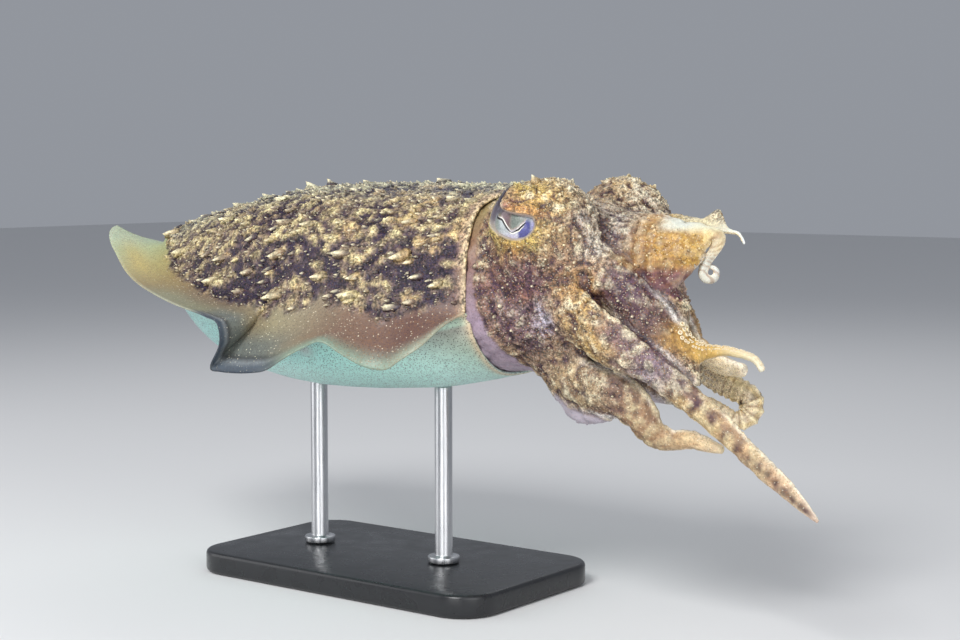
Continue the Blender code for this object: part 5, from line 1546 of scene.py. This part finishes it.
# Glass painted from behind: a metallic iris, finely flecked, under a clear wet gloss.
FLECK_MM = 0.5
glass, shader = new_material("painted_glass_eye")
at = node(glass, "TexCoord")["Object"]
tint = node(glass, "Attribute", attribute_name="paint")["Color"]
flecks = node(glass, "TexNoise", {"Vector": at, "Scale": 1000 / FLECK_MM, "Detail": 3.0})["Fac"]
flecks = node(glass, "MapRange", [flecks, 0.35, 0.65, 0.72, 1.2])[0]
flecked = node(glass, "Mix", {0: 0.8, 6: tint, 7: flecks}, data_type="RGBA", blend_type="MULTIPLY")[2]
node(glass, shader, {"Base Color": flecked, "Roughness": 0.30, "Metallic": 0.25,
                     "Coat Weight": 1.0, "Coat Roughness": 0.05})
# Black glass and white enamel, fused on: a deep slit, and crisp lines that catch the light.
black, shader = new_material("black_glass_pupil")
node(black, shader, {"Base Color": (*linear("#08070a"), 1), "Roughness": 0.12})
white, shader = new_material("white_enamel_line")
node(white, shader, {"Base Color": (*linear("#efece2"), 1), "Roughness": 0.25})

for side_now, name in ((-1, "eye_right"), (1, "eye_left")):
    bpy.ops.mesh.primitive_uv_sphere_add(segments=EYE_SIDES, ring_count=EYE_RINGS, radius=EYE_RADIUS)
    ball = bpy.context.object
    points = np.array([v.co for v in ball.data.vertices])
    faces = [tuple(p.vertices) for p in ball.data.polygons]
    bpy.data.objects.remove(ball)
    # Its poles are laid to the sides, so that its rings lie round the pupil.
    points = points[:, (0, 2, 1)] * (1, -1, 1) + EYE_AT * (1, side_now, 1)
    _, lon, lat = eye_angles(points, side_now)
    pupil_at = np.interp(lon, [p[0] for p in PUPIL], [p[1] for p in PUPIL], left=40, right=30)
    above = ease(lat - pupil_at, -1.0, 1.0) * (lon > -36) * (lon < 33)
    eye_paint = np.tile(linear("#a6adae"), (len(points), 1))
    for colour, amount in (
            ("#cfd2d6", ease(-lat, 4, 16) * (1 - ease(lon, 14, 26))),
            ("#7f8f86", 0.75 * spot(lon, -32, 10, lat, 4, 12)),
            ("#b3a6c6", 0.60 * spot(lon, 6, 16, lat, -17, 6)),
            ("#3a3a86", 0.95 * band(lon, 15, 19, 35, 40) * ease(-lat, -16, -4)),
            ("#8f86c6", 0.65 * band(lon, 36, 41, 50, 56) * ease(-lat, -14, -4)),
            ("#beb8c2", above),
            ("#ab9c8e", above * ease(lat - pupil_at, 1.5, 5)),
            ("#7b837b", above * ease(lat - pupil_at, 3, 8) * ease(lon, -4, 8)),
            ("#5a3c43", above * ease(lat - pupil_at, 3.5, 8) * (1 - ease(lon, -4, 7))),
            ("#948a58", above * spot(lon, -27, 4) * ease(lat, 12, 18)),
            ("#a9a6a6", 0.6 * above * ease(lon, 16, 28) * ease(lat, 8, 14)),
            # Under the groove at the top and back, the glass is painted dark grey as shade.
            ("#56525d", ease(lat, 12, 26) * ease(-lon, 14, 26)),
            ("#544e5b", ease(lat, 28, 40) * ease(-lon, 8, 20)),
            ("#322d37", ease(lat, 40, 50))):
        eye_paint += (linear(colour) - eye_paint) * np.clip(amount, 0, 1)[:, None]
    eye = mesh_object(name + "_glass", points, faces, glass, black, white)
    store_paint(eye, eye_paint)
    bm = bmesh.new()
    bm.from_mesh(eye.data)
    for line, half, height, finish in STRIPS:
        rings_now = ribbon(line, half, height, side_now)
        count, columns = rings_now.shape[:2]
        verts = [bm.verts.new(p) for p in world(rings_now.reshape(-1, 3))]
        ends = (range(columns)[::-1], range((count - 1) * columns, count * columns))
        for face in (*loft_faces(count, columns), *ends):
            made = bm.faces.new([verts[i] for i in face])
            made.material_index, made.smooth = finish, True
    bmesh.ops.recalc_face_normals(bm, faces=bm.faces)
    bm.to_mesh(eye.data)
    bm.free()
    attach(eye, "root")
    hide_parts(name)

# Stand --------------------------------------------------------------------------------------------
# A lacquered board with rounded corners, and two steel rods, each turned with a foot ring and
# screwed into the board from below; their upper ends go into the belly.

# In metres: the board's corner radius and edge, and the rings' width, height and edge.
CORNER, EDGE = 0.014, 0.0014
RING_OUT, RING_TALL, RING_EDGE = 0.0026, 0.0024, 0.0005

# Wood lacquered black and rubbed down: an even satin, a little cloudy.
CLOUD_MM, BRUSHING_MM = 9.0, 0.35
board, shader = new_material("black_lacquered_board")
at = node(board, "TexCoord")["Object"]
clouds = node(board, "TexNoise", {"Vector": at, "Scale": 1000 / CLOUD_MM, "Detail": 4.0})["Fac"]
clouded = node(board, "Mix", {0: clouds, 6: (*linear("#1b1c1e"), 1), 7: (*linear("#292a2d"), 1)},
               data_type="RGBA")[2]
rubbed = node(board, "MapRange", [clouds, 0.3, 0.7, 0.22, 0.36])[0]
node(board, shader, {"Base Color": clouded, "Roughness": rubbed})
# Stainless steel bar, brushed along its length: fine upright lines in a soft bright reflection.
steel, shader = new_material("brushed_stainless_rod")
at = node(steel, "TexCoord")["Object"]
stretch = node(steel, "Mapping", {"Vector": at, "Scale": (1, 1, 0.03)})[0]
lines = node(steel, "TexNoise", {"Vector": stretch, "Scale": 1000 / BRUSHING_MM, "Detail": 2.0})["Fac"]
brushed = node(steel, "MapRange", [lines, 0.3, 0.7, 0.22, 0.42])[0]
node(steel, shader, {"Base Color": (*linear("#c9cacc"), 1), "Metallic": 1.0, "Roughness": brushed})


def picked(piece, keep):
    """Edit mode with only the chosen edges or faces of a piece selected."""
    bpy.ops.object.mode_set(mode="EDIT")
    bpy.ops.mesh.select_mode(type="EDGE" if keep == "upright" else "FACE")
    bpy.ops.mesh.select_all(action="DESELECT")
    bm = bmesh.from_edit_mesh(piece.data)
    if keep == "upright":
        for edge in bm.edges:
            edge.select_set(abs(edge.verts[0].co.z - edge.verts[1].co.z) > 0.001)
    else:
        for face in bm.faces:
            face.select_set(face.normal.z > 0.9)
    bmesh.update_edit_mesh(piece.data)


def finished(piece, stands_for, finish, edge):
    """Rounds a piece's edges, and hands it to the frame in place of its CAD node."""
    bpy.ops.object.mode_set(mode="OBJECT")
    bpy.ops.object.transform_apply(location=True, rotation=True, scale=True)
    rounding = piece.modifiers.new("edge", "BEVEL")
    rounding.width, rounding.segments = edge, 3
    rounding.limit_method, rounding.angle_limit = "ANGLE", math.radians(50)
    bpy.ops.object.modifier_apply(modifier="edge")
    bpy.ops.object.shade_smooth_by_angle(angle=math.radians(35))
    piece.name = stands_for + "_made"
    piece.data.materials.append(finish)
    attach(piece, "root")
    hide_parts(stands_for)


bpy.ops.object.select_all(action="DESELECT")
low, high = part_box("stand_base")
bpy.ops.mesh.primitive_cube_add(size=1, location=(low + high) / 2, scale=high - low)
plinth = bpy.context.object
bpy.ops.object.transform_apply(location=True, rotation=True, scale=True)
picked(plinth, "upright")
bpy.ops.mesh.bevel(offset=CORNER, segments=14)
finished(plinth, "stand_base", board, EDGE)
for name in ("stand_rod_front", "stand_rod_rear"):
    low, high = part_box(name)
    radius, middle = (high.x - low.x) / 2, (low + high) / 2
    bpy.ops.object.select_all(action="DESELECT")
    bpy.ops.mesh.primitive_cylinder_add(vertices=64, radius=radius + RING_OUT, depth=RING_TALL,
                                        location=(middle.x, middle.y, low.z + RING_TALL / 2))
    rod = bpy.context.object
    picked(rod, "top")
    bpy.ops.mesh.inset(thickness=RING_OUT)
    bpy.ops.mesh.extrude_region_move(TRANSFORM_OT_translate={"value": (0, 0, high.z - low.z - RING_TALL)})
    finished(rod, name, steel, RING_EDGE)

# Stage --------------------------------------------------------------------------------------------
# A pale paper floor just under the board, the camera level with the model's right front, and five
# round soft lights over a weak, slightly blue sky.

bpy.ops.mesh.primitive_plane_add(size=6, location=(0, 0, -0.0002))
floor = bpy.context.object
floor.name = "floor"
paper, shader = new_material("floor_paper")
node(paper, shader, {"Base Color": (0.75, 0.75, 0.75, 1), "Roughness": 0.9})
floor.data.materials.append(paper)

TURN, TILT, DISTANCE = math.radians(37), math.radians(5), 0.62
# In pixels of a frame this wide: the lens, and how far the model stands right of and above its middle.
FRAME_PX, LENS_PX, RIGHT_PX, UP_PX = 960, 1800.0, 50, 40
back = Vector((math.sin(TURN) * math.cos(TILT), -math.cos(TURN) * math.cos(TILT), math.sin(TILT)))
across = Vector((math.cos(TURN), math.sin(TURN), 0))
upward = back.cross(across)
camera = bpy.data.objects.new("camera", bpy.data.cameras.new("camera"))
bpy.context.scene.collection.objects.link(camera)
camera.data.sensor_width = 36
camera.data.lens = LENS_PX / FRAME_PX * camera.data.sensor_width
camera.data.clip_end = 20
place = Vector(BODY_AT) * MM + back * DISTANCE
place -= across * (RIGHT_PX * DISTANCE / LENS_PX) + upward * (UP_PX * DISTANCE / LENS_PX)
camera.matrix_world = Matrix((across, upward, back)).transposed().to_4x4()
camera.matrix_world.translation = place
bpy.context.scene.camera = camera

# Each light's name, place, width and power; all face the same point.
LIGHTS_AIM = Vector((0.04, 0, 0.1))
for name, place, wide, power in (("low", (0.25, -0.8, 0.05), 0.5, 1.5),
                                 ("key", (0.15, -0.75, 0.75), 0.4, 7.5),
                                 ("fill", (0.75, -0.35, 0.30), 0.6, 2.0),
                                 ("rim", (-0.3, 0.6, 0.8), 0.6, 1.4),
                                 ("left_fill", (-0.6, -0.4, 0.3), 0.6, 1.4)):
    lamp = bpy.data.lights.new(name, "AREA")
    lamp.shape, lamp.size, lamp.energy = "DISK", wide, power
    softbox = bpy.data.objects.new(name, lamp)
    bpy.context.scene.collection.objects.link(softbox)
    softbox.location = place
    softbox.rotation_euler = (LIGHTS_AIM - Vector(place)).to_track_quat("-Z", "Y").to_euler()
sky = bpy.data.worlds.new("studio")
sky.use_nodes = True
node(sky, sky.node_tree.nodes["Background"], {"Color": (0.85, 0.9, 1.0, 1), "Strength": 0.34})
bpy.context.scene.world = sky
bpy.context.scene.view_settings.view_transform = "Standard"
